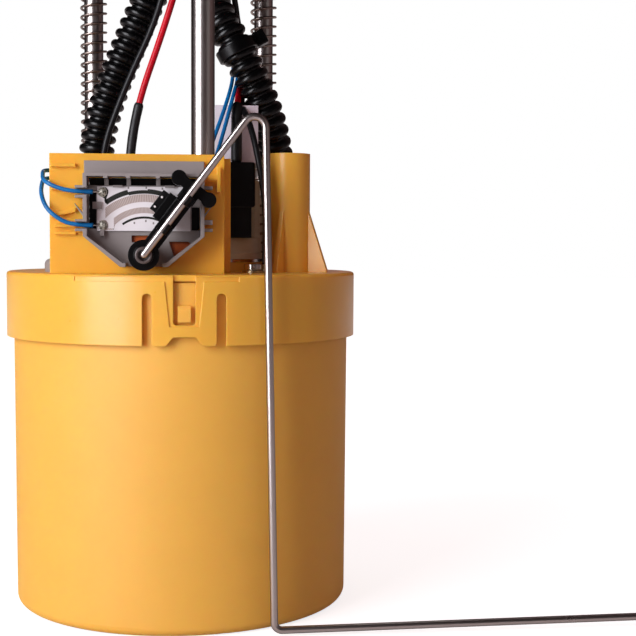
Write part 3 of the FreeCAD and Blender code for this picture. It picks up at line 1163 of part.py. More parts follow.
def make_flange():
    under, rim = S.flange_under, S.flange_rim
    top = under + rim
    dome = top + S.dome_rise
    spigot, dome_edge = SPIGOT_RADIUS, S.flange_radius - S.dome_ledge
    inner = spigot - S.spigot_wall
    shell = turned("flange_turn", [
        (0, under + 1.0), (dome_edge - 4.0, under + 1.0), (dome_edge - 3.0, under), (inner, under),
        (inner, under - S.spigot_drop), (spigot, under - S.spigot_drop), (spigot, under),
        (S.flange_radius, under), (S.flange_radius, top), (dome_edge, top), (dome_edge - 2.0, dome), (0, dome)])
    added = [shell] + [rod_socket(side, x, y) for side, (x, y) in ROD_PLACES.items()]
    tools = []
    for side, x in (("left", S.left_port_x), ("right", S.right_port_x)):
        stem, edge, tip = S.hose_bore - 0.6, S.hose_bore - 0.05, under - S.port_barb
        barb = turned(f"port_barb_{side}", [
            (0, tip), (stem - 0.5, tip), (edge, tip + 2.6), (stem, tip + 2.7), (stem, tip + 5.6),
            (edge, tip + 8.4), (stem, tip + 8.5), (stem, under - 2.0), (S.hose_radius, under - 2.0),
            (S.hose_radius, under + 2.0), (0, under + 2.0)], (x, S.port_y, 0))
        added.append(barb)
    outlet_parts, outlet_bore = flange_pipe("outlet", S.outlet_pipe, S.left_port_x - S.turret_gap, -1)
    return_parts, return_bore = flange_pipe("return", S.return_pipe, S.right_port_x + S.turret_gap, 1)
    added += outlet_parts + return_parts
    tools += [outlet_bore, return_bore]
    half_long, half_wide = S.socket_length / 2, S.socket_width / 2
    wall = S.socket_wall
    socket = extruded("socket_wall_pad", "XY_Plane", S.socket_rise + 1.0, [[
        (-half_long, -half_wide), (half_long, -half_wide), (half_long, half_wide), (-half_long, half_wide)]],
        (S.socket_x, S.socket_y, dome - 1.0))
    rounded(socket, 4.0, lambda edge: is_upright(edge, Z_AXIS))
    added.append(socket)
    inner_long, inner_wide = half_long - wall, half_wide - wall
    tools.append(box("socket_hollow", (S.socket_x - inner_long, S.socket_y - inner_wide, dome),
                     (S.socket_x + inner_long, S.socket_y + inner_wide, dome + S.socket_rise + 2.0)))
    for side, (x, y) in ROD_PLACES.items():
        tools.append(cylinder(f"socket_bore_{side}", ROD_RADII[side] + 0.02, S.socket_drop + 0.5,
                              (x, y, under - S.socket_drop - 1.0)))
    node("flange_plate", cut("flange_body", fuse("flange_solid", *added), *tools))
    seal_in, seal_out, seal_low = SPIGOT_RADIUS + 0.02, SPIGOT_RADIUS + S.seal_width, under - S.seal_thickness
    node("flange_seal", turned("seal_turn", [
        (seal_in, seal_low), (seal_out - 1.2, seal_low), (seal_out, seal_low + 1.0), (seal_out, under),
        (seal_in, under)]))
    pins = [box(f"flange_pin_{number}", (S.socket_x + shift - 1.4, S.socket_y - 0.4, dome),
                (S.socket_x + shift + 1.4, S.socket_y + 0.4, dome + S.socket_rise - 5.0))
            for number, shift in enumerate((-9.0, -3.0, 3.0, 9.0))]
    node("flange_pins", fuse("flange_pin_row", *pins))


def make_rods():
    top = S.flange_under - 0.5
    clip_low = BOSS_FOOT - S.fit_gap - S.clip_thickness
    foot = clip_low - S.rod_end
    groove = 0.6
    for side, (x, y) in ROD_PLACES.items():
        radius = ROD_RADII[side]
        bore = radius - S.rod_wall
        groove_low, groove_high = clip_low - 0.05, clip_low + S.clip_thickness + 0.05
        rod = turned(f"rod_{side}_turn", [
            (bore, foot), (radius - 0.5, foot), (radius, foot + 0.5), (radius, groove_low),
            (radius - groove, groove_low), (radius - groove, groove_high), (radius, groove_high),
            (radius, top - 0.5), (radius - 0.5, top), (bore, top)])
        node(f"guide_rod_{side}", place(rod, (x, y, 0)))
    clips = []
    for side, (x, y) in ROD_PLACES.items():
        half_mouth = ROD_RADII[side] * 0.75
        ring = cylinder(f"clip_ring_{side}", S.clip_radius, S.clip_thickness, (0, 0, clip_low))
        hole = cylinder(f"clip_hole_{side}", ROD_RADII[side] - groove + 0.05, 9.0, (0, 0, foot - 2.0))
        mouth = box(f"clip_mouth_{side}", (-half_mouth, 0, foot), (half_mouth, 9.0, foot + 6.0))
        clips.append(place(cut(f"clip_{side}", ring, hole, mouth), (x, y, 0)))
    node("rod_clips", fuse("clip_set", *clips))


def spring_shape(turns, height, steps_per_turn=8):
    """A coil of square wire standing on its lower end, faceted so that it stays light."""
    radius, half = float(S.spring_radius), float(S.spring_wire) / 2
    steps = int(round(turns * steps_per_turn))
    stations = []
    for step in range(steps + 1):
        angle = 2 * math.pi * step / steps_per_turn
        middle = half + (height - 2 * half) * step / steps
        across, along = math.cos(angle), math.sin(angle)
        stations.append([
            Vector((radius + out * half) * across, (radius + out * half) * along, middle + up * half)
            for out, up in ((-1, -1), (1, -1), (1, 1), (-1, 1))])

    def face(*corners):
        return Part.Face(Part.makePolygon(list(corners) + [corners[0]]))

    faces = [face(*stations[0]), face(*stations[-1])]
    for here, there in zip(stations, stations[1:]):
        for first, second in ((1, 2), (3, 0)):
            faces.append(face(here[first], here[second], there[second], there[first]))
        for first, second in ((0, 1), (2, 3)):
            faces.append(face(here[first], here[second], there[second]))
            faces.append(face(here[first], there[second], there[first]))
    shell = Part.makeShell(faces)
    shell.sewShape()
    return Part.makeSolid(Part.Shell(shell.Faces))


def make_springs():
    low = BOSS_TOP
    high = S.flange_under - S.socket_drop
    height = float(high - low)
    turns = round(height / float(S.spring_pitch))
    coil = spring_shape(turns, height)
    for side in SIDES:
        x, y = ROD_PLACES[side]
        spring = node(f"spring_{side}", feature(f"spring_{side}", coil.copy()))
        place(spring, (x, y, low))


# Hoses and leads between the lid and the flange

def routed(*rows):
    """Points of a cord with their heights above the lid, stretched with the gap between lid and flange."""
    stretch = float(S.flange_under - S.lid_height) / CORD_GAP
    return points(*[(x, y, float(S.lid_height) + float(rise) * stretch) for x, y, rise in rows])


def make_hoses():
    foot = 3.0
    top = CORD_GAP - 2.0
    left = routed((*ELBOWS["left"], foot), (*ELBOWS["left"], 22.7), (-31.9, 8, 52.2), (-14.5, 8, 95.0),
                  (S.left_port_x, S.port_y, 110.7), (S.left_port_x, S.port_y, top))
    tube("hose_left", left, S.hose_radius, S.hose_bore)
    right = routed((*ELBOWS["right"], foot), (*ELBOWS["right"], 18.7), (34.1, 9, 53.7), (19.9, 8, 82.3),
                   (S.right_port_x, S.port_y, 105.3), (S.right_port_x, S.port_y, top))
    tube("hose_right", right, S.hose_radius, S.hose_bore)


def between(shape, low, high):
    """The part of a shape between two heights."""
    side = 4 * float(S.lid_radius)
    slab = Part.makeBox(side, side, float(high - low), Vector(-side / 2, -side / 2, float(low)))
    return shape.common(slab)


def sleeved(name, corners, sleeve_radius, low, high):
    """A lead and its heat-shrink sleeve, which stays on the lead's own line."""
    tube(name, corners, S.lead_radius)
    sleeve = tube_shape(f"{name}_sleeve", corners, sleeve_radius, S.lead_radius + 0.02)
    node(f"{name}_sleeve", feature(f"{name}_sleeve", between(sleeve, low, high)))


def make_leads():
    top = CORD_GAP + 0.5
    in_lid = -float(S.lid_plate) - 6.0
    black_x, red_x = S.grommet_x - LEAD_SHIFT, S.grommet_x + LEAD_SHIFT
    tube("black_lead", routed((black_x, S.grommet_y, in_lid), (black_x, S.grommet_y, 12.2), (-30.3, -3.6, 38.7),
                              (-21.3, -3.2, 64.7), (-7.3, -3.2, 94.7), (-4.4, -5.6, 116.7), (-5.4, -9, top)),
         S.lead_radius)
    sleeved("red_lead", routed((red_x, S.grommet_y, in_lid), (red_x, S.grommet_y, 9.2), (-19.6, -9, 29.2),
                               (-17.0, -8, 56.7), (-6.5, -7.5, 86.7), (0.2, -8, 108.7), (-1.6, -10, top)),
            S.shrink_radius, S.lid_height + S.shrink_low, S.lid_height + S.shrink_top)
    plug_x, plug_y = PLUG_LEAD
    sleeved("pump_lead", routed((plug_x, plug_y, S.plug_box_rise - 7.5), (plug_x, plug_y, 48.7),
                                (plug_x, -12.2, 63.7), (19.4, -2.3, 74.7), (17.9, -1.9, 85.7),
                                (11.5, -4, 106.7), (5.8, -9.4, top)),
            S.shrink_b_radius, PLUG_TOP + S.fit_gap, S.lid_height + S.shrink_b_top)
    terminal_x, terminal_y = GROUND_PLACE
    tube("ground_lead", routed((terminal_x, terminal_y, 2.9), (terminal_x, terminal_y, 7.0),
                               (29.2, -26.6, 15.3), (28.6, -24.6, 27.3), (26.4, -23.6, 41.3),
                               (24.4, -18.0, 52.8), (22.6, -11.0, 64.7), (22.4, -2.0, 74.7),
                               (20.9, -1.5, 85.7), (15.0, -5, 106.7), (9.2, -11, top)),
         S.lead_radius * 0.9)
    rear_rise, front_rise = SPLICE_RISES
    tube("blue_lead_rear", routed((SPLICE_X, SPLICE_Y, rear_rise), (3.2, SPLICE_Y, rear_rise + 0.1),
                                  (7.4, -23.6, 38.4), (9.6, -23.0, 43.7), (11.4, -20.2, 49.3),
                                  (13.6, -14.6, 56.9), (15.4, -6.6, 66.2), (15.2, 0.8, 74.9),
                                  (13.2, 1.2, 85.7), (4.0, -4.6, 108.7), (1.2, -10.6, top)),
         S.signal_radius)
    tube("blue_lead_front", routed((SPLICE_X, SPLICE_Y, front_rise), (4.4, SPLICE_Y, front_rise + 0.1),
                                   (9.4, -23.6, 35.1), (12.0, -23.4, 40.5), (13.4, -21.2, 46.7),
                                   (15.2, -17.0, 53.5), (17.0, -9.6, 63.9), (17.2, -1.2, 74.9),
                                   (15.4, -0.9, 85.7), (6.8, -6.0, 108.7), (3.5, -12.2, top)),
         S.signal_radius)


def make_sender_leads():
    front = S.bracket_front - S.frame_plate - S.card_thickness - S.signal_radius - 0.15
    start_x = TERMINAL_X - 1.7
    side_x = S.bracket_left - 3.2
    high, low = (height - S.lid_height for height in LEAD_HEIGHTS)
    rear_rise, front_rise = SPLICE_RISES
    upper = routed((start_x, front, high), (-34.2, front - 0.1, high), (-39.8, front + 0.3, 27.8),
                   (-45.5, -46.6, 30.4), (side_x + 0.4, -39.0, 33.4), (side_x, -30.5, 34.7),
                   (-44.5, -24.8, 35.0), (-36.0, SPLICE_Y, rear_rise), (-26.0, SPLICE_Y + 0.2, rear_rise - 0.1),
                   (-14.0, SPLICE_Y, rear_rise), (SPLICE_X, SPLICE_Y, rear_rise))
    lower = routed((start_x, front, low), (-34.2, front - 0.1, low), (-39.2, front - 0.2, 17.2),
                   (-44.3, -47.6, 21.1), (-46.5, -44.6, 26.3), (side_x, -37.0, 30.3), (side_x, -30.5, 31.9),
                   (-44.5, -24.6, 32.4), (-36.0, SPLICE_Y, front_rise), (-26.0, SPLICE_Y + 0.2, front_rise - 0.1),
                   (-14.0, SPLICE_Y, front_rise), (SPLICE_X, SPLICE_Y, front_rise))
    together("sender_leads", [tube_shape("sender_lead_upper", upper, S.signal_radius),
                              tube_shape("sender_lead_lower", lower, S.signal_radius)])


def make_lead_trim():
    """The cable tie round the right hose and its leads, the blank tag, and the ground terminal."""
    ring = turned("tie_turn", [(S.tie_bore, 0), (S.tie_bore + S.tie_thickness, 0),
                               (S.tie_bore + S.tie_thickness, S.tie_width), (S.tie_bore, S.tie_width)])
    head_left = S.tie_bore + S.tie_thickness - 0.4
    head = box("tie_head", (head_left, -2.6, -0.8), (head_left + 4.4, 2.6, S.tie_width + 0.8))
    tie = fuse("tie_body", ring, head)
    node("cable_tie", place(tie, (S.tie_x, S.tie_y, S.lid_height + S.tie_rise), Y_AXIS, S.tie_lean))
    right = S.tag_left + S.tag_width
    low = PLUG_TOP + S.fit_gap
    node("lead_tag", box("tag_plate", (S.tag_left, S.tag_front, low),
                         (right, S.tag_front + S.tag_thickness, low + S.tag_height)))
    ring_low = S.lid_height
    eye = cut("terminal_eye", cylinder("eye_out", S.screw_radius + 2.2, 0.9, (S.screw_x, S.screw_y, ring_low)),
              cylinder("eye_in", S.screw_radius + 0.1, 4.0, (S.screw_x, S.screw_y, ring_low - 1.0)))
    tongue = box("terminal_tongue", (S.screw_x + S.screw_radius + 1.0, S.screw_y, ring_low),
                 (S.screw_x + 6.4, S.screw_y + 2.8, ring_low + 0.9))
    barrel = cylinder("terminal_barrel", 1.5, 2.9, (*GROUND_PLACE, ring_low))
    node("ground_terminal", fuse("terminal_body", eye, tongue, barrel))


make_cup()
make_foot_valve()
make_lid()
make_lid_trim()
make_inner_pipes()
make_regulator()
make_pump()
make_motor_rotor()
make_pump_mounting()
make_bracket()
make_sender_frame()
make_card()
make_wiper()
make_float_arm()
make_flange()
make_rods()
make_springs()
make_hoses()
make_leads()
make_sender_leads()
make_lead_trim()


# Check every object, then write one file for each piece

doc.recompute()
failed = [thing.Name for thing in doc.Objects if "Invalid" in thing.State or "Error" in thing.State]
if failed:
    raise SystemExit(f"failed objects: {failed}")
for thing in NODES:
    if thing.Shape.isNull() or not thing.Shape.isValid() or not thing.Shape.Solids:
        raise SystemExit(f"bad shape: {thing.Label}")

os.makedirs("parts", exist_ok=True)
for thing in NODES:
    thing.Shape.exportStep(f"parts/{thing.Label}.step")
print(f"{len(NODES)} pieces written")
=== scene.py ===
import json
import math

import bmesh
import bpy
from mathutils import Matrix, Vector, noise


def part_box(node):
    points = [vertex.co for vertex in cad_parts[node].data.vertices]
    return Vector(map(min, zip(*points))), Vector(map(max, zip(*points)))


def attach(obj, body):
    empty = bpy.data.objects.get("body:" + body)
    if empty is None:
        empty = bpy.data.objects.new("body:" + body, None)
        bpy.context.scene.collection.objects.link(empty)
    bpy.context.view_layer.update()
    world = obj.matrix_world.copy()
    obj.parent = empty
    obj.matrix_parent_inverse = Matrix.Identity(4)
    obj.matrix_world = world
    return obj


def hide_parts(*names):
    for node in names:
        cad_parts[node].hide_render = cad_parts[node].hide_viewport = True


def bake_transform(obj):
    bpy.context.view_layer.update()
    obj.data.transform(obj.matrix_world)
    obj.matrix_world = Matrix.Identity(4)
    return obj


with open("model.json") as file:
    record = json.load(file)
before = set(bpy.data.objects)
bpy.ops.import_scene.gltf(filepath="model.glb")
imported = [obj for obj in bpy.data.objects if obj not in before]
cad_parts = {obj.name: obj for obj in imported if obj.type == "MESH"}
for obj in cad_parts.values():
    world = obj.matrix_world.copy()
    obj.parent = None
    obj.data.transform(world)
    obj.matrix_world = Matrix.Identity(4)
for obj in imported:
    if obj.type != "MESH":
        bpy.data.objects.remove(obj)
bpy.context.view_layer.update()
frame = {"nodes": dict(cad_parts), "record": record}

# In-tank fuel pump module, dressed for a studio picture. Lengths are in metres in the frame of the
# solids: the origin is the middle of the cup's bottom, +Z is up and the level sender faces -Y.

MM = 0.001

# Sizes of hoses and springs

HOSE_OUTER = 6.5 * MM
HOSE_GROOVE = 4.7 * MM
HOSE_PITCH = 4.3 * MM
HOSE_CUFF = 5.0 * MM
CUFF_RADIUS = 0.95 * HOSE_OUTER
RIDGE_SHARE = 0.78
RIDGE_RINGS = 16
SPRING_WIRE = 0.47 * MM
SPRING_RADIUS = 4.65 * MM
SPRING_PITCH = 3.7 * MM
CLOSED_TURNS = 1.5
CLOSED_HEIGHT = CLOSED_TURNS * 2.1 * SPRING_WIRE
STEPS_PER_TURN = 20

# Sizes of leads, their sleeves and the cable tie

LEAD_RADIUS = 1.2 * MM
GROUND_RADIUS = 1.08 * MM
SIGNAL_RADIUS = 0.71 * MM
BARE_RADIUS = 0.3 * MM
SENDER_FLARE = 0.14
SENDER_FLARE_LENGTH = 2 * MM
SLEEVE_LEFT = 1.7 * MM
SLEEVE_RIGHT = 2.0 * MM
SLEEVE_LEFT_ENDS = (157 * MM, 179.4 * MM)
SLEEVE_RIGHT_ENDS = (158.3 * MM, 179.2 * MM)
SLEEVE_TAPER = 1.2 * MM
SLEEVE_NECK = 0.35 * MM
SLEEVE_UNEVEN = 0.06 * MM
TIE_HEIGHT = 198.8 * MM
TIE_WIDTH = 4.2 * MM
TIE_THICKNESS = 1.1 * MM
TIE_ROUNDING = (0.3 * MM, 0.35 * MM)
TIE_GAP = 0.05 * MM
TIE_STEPS = 96
TIE_HEAD = (4.5 * MM, 5.2 * MM, 5.3 * MM)
TIE_HEAD_CHAMFER = 0.5 * MM
TIE_HEAD_SUNK = 0.4 * MM
TIE_HEAD_FORWARD = 1.2 * MM

# Sizes and places of the level sender

PIVOT = Vector((-12.5, 0, 125.6)) * MM
ARM_ANGLE = math.radians(53)
ALONG_ARM = Vector((math.cos(ARM_ANGLE), 0, math.sin(ARM_ANGLE)))
ACROSS_ARM = Vector((-math.sin(ARM_ANGLE), 0, math.cos(ARM_ANGLE)))
WIRE_RADIUS = 1.25 * MM
WIRE_AXIS = Vector((PIVOT.x, -60 * MM, PIVOT.z))
WIRE_START = 0.3 * MM
JAW_THICKNESS = 0.75 * MM
JAW_ROUNDING = 0.2
JAW_OPEN = (-12, 62)
HUB_FRONT = -59.6 * MM
HUB_RING_RISE = 0.2 * MM
CARD_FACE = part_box("resistor_card")[0].y
PRINT_RISE = 0.05 * MM
COMB_LINES = 212.0
COMB_BAND = (13.3 * MM, 20.1 * MM)
# Painted highlights: bright dots on the plate's two contacts, along and across the arm in millimetres, and
# their radius.
CONTACT_HIGHLIGHT_PLACES = ((14.8, 6.8), (18.7, 6.8))
CONTACT_HIGHLIGHT_RADIUS = 0.36 * MM
BEAD_SIZE = (1.2 * MM, 1.55 * MM, 1.1 * MM)
BEAD_PLACES = ((-13.7, 20.5), (-13.7, 9.85))
BEAD_DRAWN = 0.35
BEAD_LUMPS = 0.12
BEAD_LUMP_SCALE = 1400
TIP_X = -29.2
TIP_Y = -48.3
UPPER_TIP = 146.3
LOWER_TIP = 135.3


def along_arm(along, across):
    """A place on the sender's arm, as it lies at rest, seen from the front."""
    return PIVOT + (ALONG_ARM * along + ACROSS_ARM * across) * MM


def to_local(node, place):
    """A place in the frame, in the node's own coordinates."""
    return frame["nodes"][node].matrix_world.inverted() @ place


# Shader trees

class Tree:
    """A shader tree, built one node at a time."""

    def __init__(self, tree):
        self.tree = tree

    def link(self, socket, value):
        if isinstance(value, bpy.types.NodeSocket):
            self.tree.links.new(value, socket)
        elif socket.type == "RGBA" and len(value) == 3:
            socket.default_value = (*value, 1.0)
        else:
            socket.default_value = value

    def add(self, kind, inputs=(), **settings):
        node = self.tree.nodes.new(kind)
        for key, value in settings.items():
            setattr(node, key, value)
        for key, value in dict(inputs).items():
            self.link(node.inputs[key], value)
        return node

    def math(self, operation, *values):
        return self.add("ShaderNodeMath", enumerate(values), operation=operation).outputs[0]

    def vector(self, operation, *values, output="Vector"):
        return self.add("ShaderNodeVectorMath", enumerate(values), operation=operation).outputs[output]

    def split(self, place):
        """A place's X, Y and Z."""
        return self.add("ShaderNodeSeparateXYZ", {"Vector": place}).outputs

    def between(self, factor, low, high, start=0.0, end=1.0, **settings):
        """A number that goes from low to high as factor goes from start to end."""
        inputs = {"Value": factor, "From Min": start, "From Max": end, "To Min": low, "To Max": high}
        return self.add("ShaderNodeMapRange", inputs, **settings).outputs[0]

    def ramp(self, factor, *stops):
        """A colour ramp: stops are (position, colour)."""
        node = self.add("ShaderNodeValToRGB", {0: factor})
        for element, (position, color) in zip(node.color_ramp.elements, stops):
            element.position = position
            element.color = (*color, 1.0)
        return node.outputs[0]

    def mix(self, factor, first, second):
        """A colour from the first to the second."""
        inputs = {"Factor": factor, "A": first, "B": second}
        return self.add("ShaderNodeMix", inputs, data_type="RGBA").outputs["Result"]


class Nodes(Tree):
    """A material's shader tree, with textures that lie in the object's own coordinates."""

    def __init__(self, name):
        self.material = bpy.data.materials.new(name)
        self.material.use_nodes = True
        super().__init__(self.material.node_tree)
        self.shader = self.tree.nodes["Principled BSDF"]
        self.place = self.add("ShaderNodeTexCoord").outputs["Object"]

    def set(self, **values):
        """Set the shader's sockets: an underscore in a name stands for a space."""
        for key, value in values.items():
            self.link(self.shader.inputs[key.replace("_", " ")], value)

    def from_axis(self, centre):
        """How far a place is from a line through the centre along the object's Y axis."""
        flat = self.vector("MULTIPLY", self.place, (1, 0, 1))
        return self.vector("DISTANCE", flat, (centre.x, 0, centre.z), output="Value")

    def stretched(self, scale):
        """The place on the object, scaled by one number or by one for each axis."""
        scale = (scale, scale, scale) if isinstance(scale, (int, float)) else scale
        return self.add("ShaderNodeMapping", {"Vector": self.place, "Scale": scale}).outputs[0]

    def noise(self, scale, detail=4.0):
        inputs = {"Vector": self.stretched(scale), "Scale": 1.0, "Detail": detail, "Roughness": 0.55}
        return self.add("ShaderNodeTexNoise", inputs).outputs["Fac"]

    def surface(self, height, depth, strength, edge=0.0):
        """A bump of that depth, over edges that are rounded by a radius."""
        inputs = {"Height": height, "Distance": depth, "Strength": strength}
        if edge:
            inputs["Normal"] = self.add("ShaderNodeBevel", {"Radius": edge}, samples=6).outputs[0]
        self.set(Normal=self.add("ShaderNodeBump", inputs).outputs[0])


# Materials

BLACK = (0.0018, 0.0018, 0.002)
STEEL = (0.66, 0.60, 0.57)
GLOW_RADIUS = (8.0, 2.0, 0.5)


def tinted(color, share):
    return tuple(min(1.0, part * share) for part in color)


def moulded_plastic(name, color, roughness, variation=0.06, edge=0.3 * MM, glow=0.0, shine=0.5):
    """Moulded plastic: a little uneven in colour and gloss, fine grained, with rounded edges."""
    nodes = Nodes(name)
    darker, lighter = (0.3, tinted(color, 1 - variation)), (0.7, tinted(color, 1 + variation))
    nodes.set(Base_Color=nodes.ramp(nodes.noise(45), darker, lighter),
              Roughness=nodes.between(nodes.noise(120), roughness - 0.06, roughness + 0.06),
              Specular_IOR_Level=shine)
    if glow:
        nodes.set(Subsurface_Weight=glow, Subsurface_Radius=GLOW_RADIUS, Subsurface_Scale=MM)
    nodes.surface(nodes.noise(2500, detail=2.0), 0.02 * MM, 0.25, edge)
    return nodes.material


def polished(name, color, roughness):
    """Smooth drawn metal, a little uneven in gloss, with its colour painted darker towards its edges: a
    painted reflection of a dark room.
    """
    nodes = Nodes(name)
    painted_edge_shade = nodes.add("ShaderNodeLayerWeight", {"Blend": 0.5}).outputs["Facing"]
    # Painted reflection: the colour darkens where the surface turns away from the view, at its edges.
    nodes.set(Base_Color=nodes.ramp(painted_edge_shade, (0.3, color), (0.62, tinted(color, 0.3))), Metallic=1.0,
              Roughness=nodes.between(nodes.noise(90), roughness - 0.02, roughness + 0.03))
    return nodes.material


def bare_metal(name, color, roughness, streaks=(900, 900, 60), grime=0.25):
    """Drawn or turned metal: streaks along one axis and a little grime."""
    nodes = Nodes(name)
    streaked = nodes.noise(streaks, detail=3.0)
    nodes.set(Base_Color=nodes.ramp(nodes.noise(160), (0.42, tinted(color, 1 - grime)), (0.62, color)),
              Roughness=nodes.between(streaked, roughness - 0.08, roughness + 0.12), Metallic=1.0)
    nodes.surface(streaked, 0.01 * MM, 0.15, 0.2 * MM)
    return nodes.material


def insulation(name, color, roughness, shine=0.35):
    """Extruded insulation of a lead."""
    nodes = Nodes(name)
    darker, lighter = (0.35, tinted(color, 0.86)), (0.65, tinted(color, 1.1))
    nodes.set(Base_Color=nodes.ramp(nodes.noise(250), darker, lighter),
              Roughness=nodes.between(nodes.noise(500), roughness - 0.05, roughness + 0.1),
              Specular_IOR_Level=shine)
    nodes.surface(nodes.noise(1500), 0.02 * MM, 0.2)
    return nodes.material


def shrink_sleeve(name):
    """Heat-shrink sleeve: black, a little dull, wrinkled."""
    nodes = Nodes(name)
    darker, lighter = (0.3, (0.004, 0.004, 0.004)), (0.7, (0.009, 0.009, 0.010))
    nodes.set(Base_Color=nodes.ramp(nodes.noise(300), darker, lighter),
              Roughness=nodes.between(nodes.noise(700), 0.38, 0.55))
    nodes.surface(nodes.noise((600, 600, 1800), detail=5.0), 0.05 * MM, 0.35)
    return nodes.material


def foam_rubber(name):
    """Closed-cell foam: small pits all over, with painted shade that darkens the colour in each pit."""
    nodes = Nodes(name)
    cells = nodes.add("ShaderNodeTexVoronoi", {"Vector": nodes.stretched(1400), "Scale": 1.0})
    depth = cells.outputs["Distance"]
    # Painted shade: the colour is darkest where the bump is lowest, at the bottom of each pit.
    nodes.set(Base_Color=nodes.ramp(depth, (0.1, (0.012, 0.012, 0.012)), (0.7, (0.05, 0.05, 0.05))),
              Roughness=0.75)
    nodes.surface(depth, 0.12 * MM, 0.6, 0.8 * MM)
    return nodes.material


def filter_mesh(name):
    """Fine woven filter mesh."""
    nodes = Nodes(name)
    threads = [nodes.add("ShaderNodeTexWave", {"Vector": nodes.stretched(1800), "Scale": 1.0},
                         bands_direction=axis).outputs["Fac"] for axis in ("X", "Y")]
    weave = nodes.math("MULTIPLY", *threads)
    nodes.set(Base_Color=nodes.ramp(weave, (0.1, (0.5, 0.5, 0.47)), (0.6, (0.84, 0.84, 0.8))),
              Roughness=0.7)
    nodes.surface(weave, 0.08 * MM, 0.5)
    return nodes.material


def printed_ink(name):
    """Near black print, with a comb of fine lines towards the pivot in the two resistor bands."""
    nodes = Nodes(name)
    away = nodes.split(nodes.vector("SUBTRACT", nodes.place, tuple(PIVOT)))
    turn = nodes.math("ARCTAN2", away["Z"], away["X"])
    lines = nodes.math("SINE", nodes.math("MULTIPLY", turn, COMB_LINES))
    comb = nodes.ramp(lines, (0.2, (0.36, 0.29, 0.26)), (0.6, (0.60, 0.52, 0.49)))
    radius = nodes.from_axis(PIVOT)
    band = nodes.math("MULTIPLY", nodes.math("GREATER_THAN", radius, COMB_BAND[0]),
                      nodes.math("LESS_THAN", radius, COMB_BAND[1]))
    nodes.set(Base_Color=nodes.mix(band, (0.008, 0.010, 0.005), comb), Roughness=0.5)
    nodes.surface(nodes.noise(1800), 0.01 * MM, 0.2)
    return nodes.material


def contact_face(name):
    """The black contact plate, with painted highlights: its two contacts painted as bright dots."""
    nodes = Nodes(name)
    centres = [to_local("contact_plate", along_arm(*place)) for place in CONTACT_HIGHLIGHT_PLACES]
    # Painted highlights: the colour turns near white inside a small circle round each contact.
    painted_highlights = [nodes.math("LESS_THAN", nodes.from_axis(centre), CONTACT_HIGHLIGHT_RADIUS) for centre in centres]
    dot = nodes.math("MAXIMUM", *painted_highlights)
    nodes.set(Base_Color=nodes.mix(dot, BLACK, (0.9, 0.88, 0.85)), Roughness=0.3)
    nodes.surface(nodes.noise(900), 0.01 * MM, 0.2, 0.15 * MM)
    return nodes.material


def solder(name):
    """A solder bead: bright, uneven, with dark flux in its hollows."""
    nodes = Nodes(name)
    spots = nodes.noise(1400, detail=3.0)
    nodes.set(Base_Color=nodes.ramp(spots, (0.36, (0.10, 0.09, 0.06)), (0.56, (0.72, 0.70, 0.60))),
              Metallic=0.65, Roughness=nodes.between(spots, 0.5, 0.25))
    nodes.surface(nodes.noise(900), 0.12 * MM, 0.5)
    return nodes.material


GLOWING = {"glow": 0.32, "variation": 0.02}
LOOKS = (
    (moulded_plastic, {
        "orange_plastic": dict(color=(0.88, 0.43, 0.042), roughness=0.34, **GLOWING),
        "orange_lid": dict(color=(0.88, 0.45, 0.058), roughness=0.30, **GLOWING),
        "orange_cup": dict(color=(0.88, 0.45, 0.068), roughness=0.54, **GLOWING),
        # Painted shade: a darkened copy of the orange, only for the thin walls behind the frame's lower
        # openings.
        "orange_deep": dict(color=(0.42, 0.075, 0.004), roughness=0.5, edge=0.0, variation=0.02),
        "grey_plastic": dict(color=(0.27, 0.245, 0.235), roughness=0.42),
        "hub_grey": dict(color=(0.09, 0.07, 0.065), roughness=0.3, edge=0.0),
        "black_plastic": dict(color=BLACK, roughness=0.3, shine=0.25),
        "cream_plastic": dict(color=(0.62, 0.58, 0.38), roughness=0.42, edge=0.4 * MM),
        "ceramic": dict(color=(0.80, 0.78, 0.79), roughness=0.5, edge=0.1 * MM, variation=0.02),
        "rubber": dict(color=(0.012, 0.012, 0.012), roughness=0.6),
        "hose_black": dict(color=BLACK, roughness=0.27, edge=0.0, shine=0.35),
        "white_tag": dict(color=(0.74, 0.68, 0.73), roughness=0.5, edge=0.0, variation=0.02),
    }),
    (bare_metal, {
        "contact_metal": dict(color=(0.78, 0.76, 0.72), roughness=0.2, streaks=700),
        "steel": dict(color=(0.66, 0.62, 0.59), roughness=0.14, grime=0.1),
        "spring_steel": dict(color=(0.42, 0.34, 0.30), roughness=0.32, streaks=600, grime=0.3),
        "can_steel": dict(color=(0.55, 0.55, 0.54), roughness=0.3),
        "rotor_metal": dict(color=(0.3, 0.2, 0.14), roughness=0.4, streaks=(60, 60, 3000)),
        "brass": dict(color=(0.62, 0.5, 0.3), roughness=0.3),
    }),
    # Metals whose colour is painted darker towards their edges, as a painted reflection.
    (polished, {
        "polished_wire": dict(color=STEEL, roughness=0.28),
        "polished_rod": dict(color=STEEL, roughness=0.29),
    }),
    (insulation, {
        "blue_wire": dict(color=(0.003, 0.14, 0.38), roughness=0.32),
        "red_wire": dict(color=(0.56, 0.003, 0.015), roughness=0.3, shine=0.25),
        "black_wire": dict(color=(0.006, 0.006, 0.007), roughness=0.38),
    }),
    (printed_ink, {"printed_track": {}}),
    (contact_face, {"contact_face": {}}),
    (solder, {"solder_bead": {}}),
    (shrink_sleeve, {"heat_shrink": {}}),
    (foam_rubber, {"foam": {}}),
    (filter_mesh, {"mesh_fabric": {}}),
)
MATERIALS = {name: maker(name, **settings) for maker, looks in LOOKS for name, settings in looks.items()}
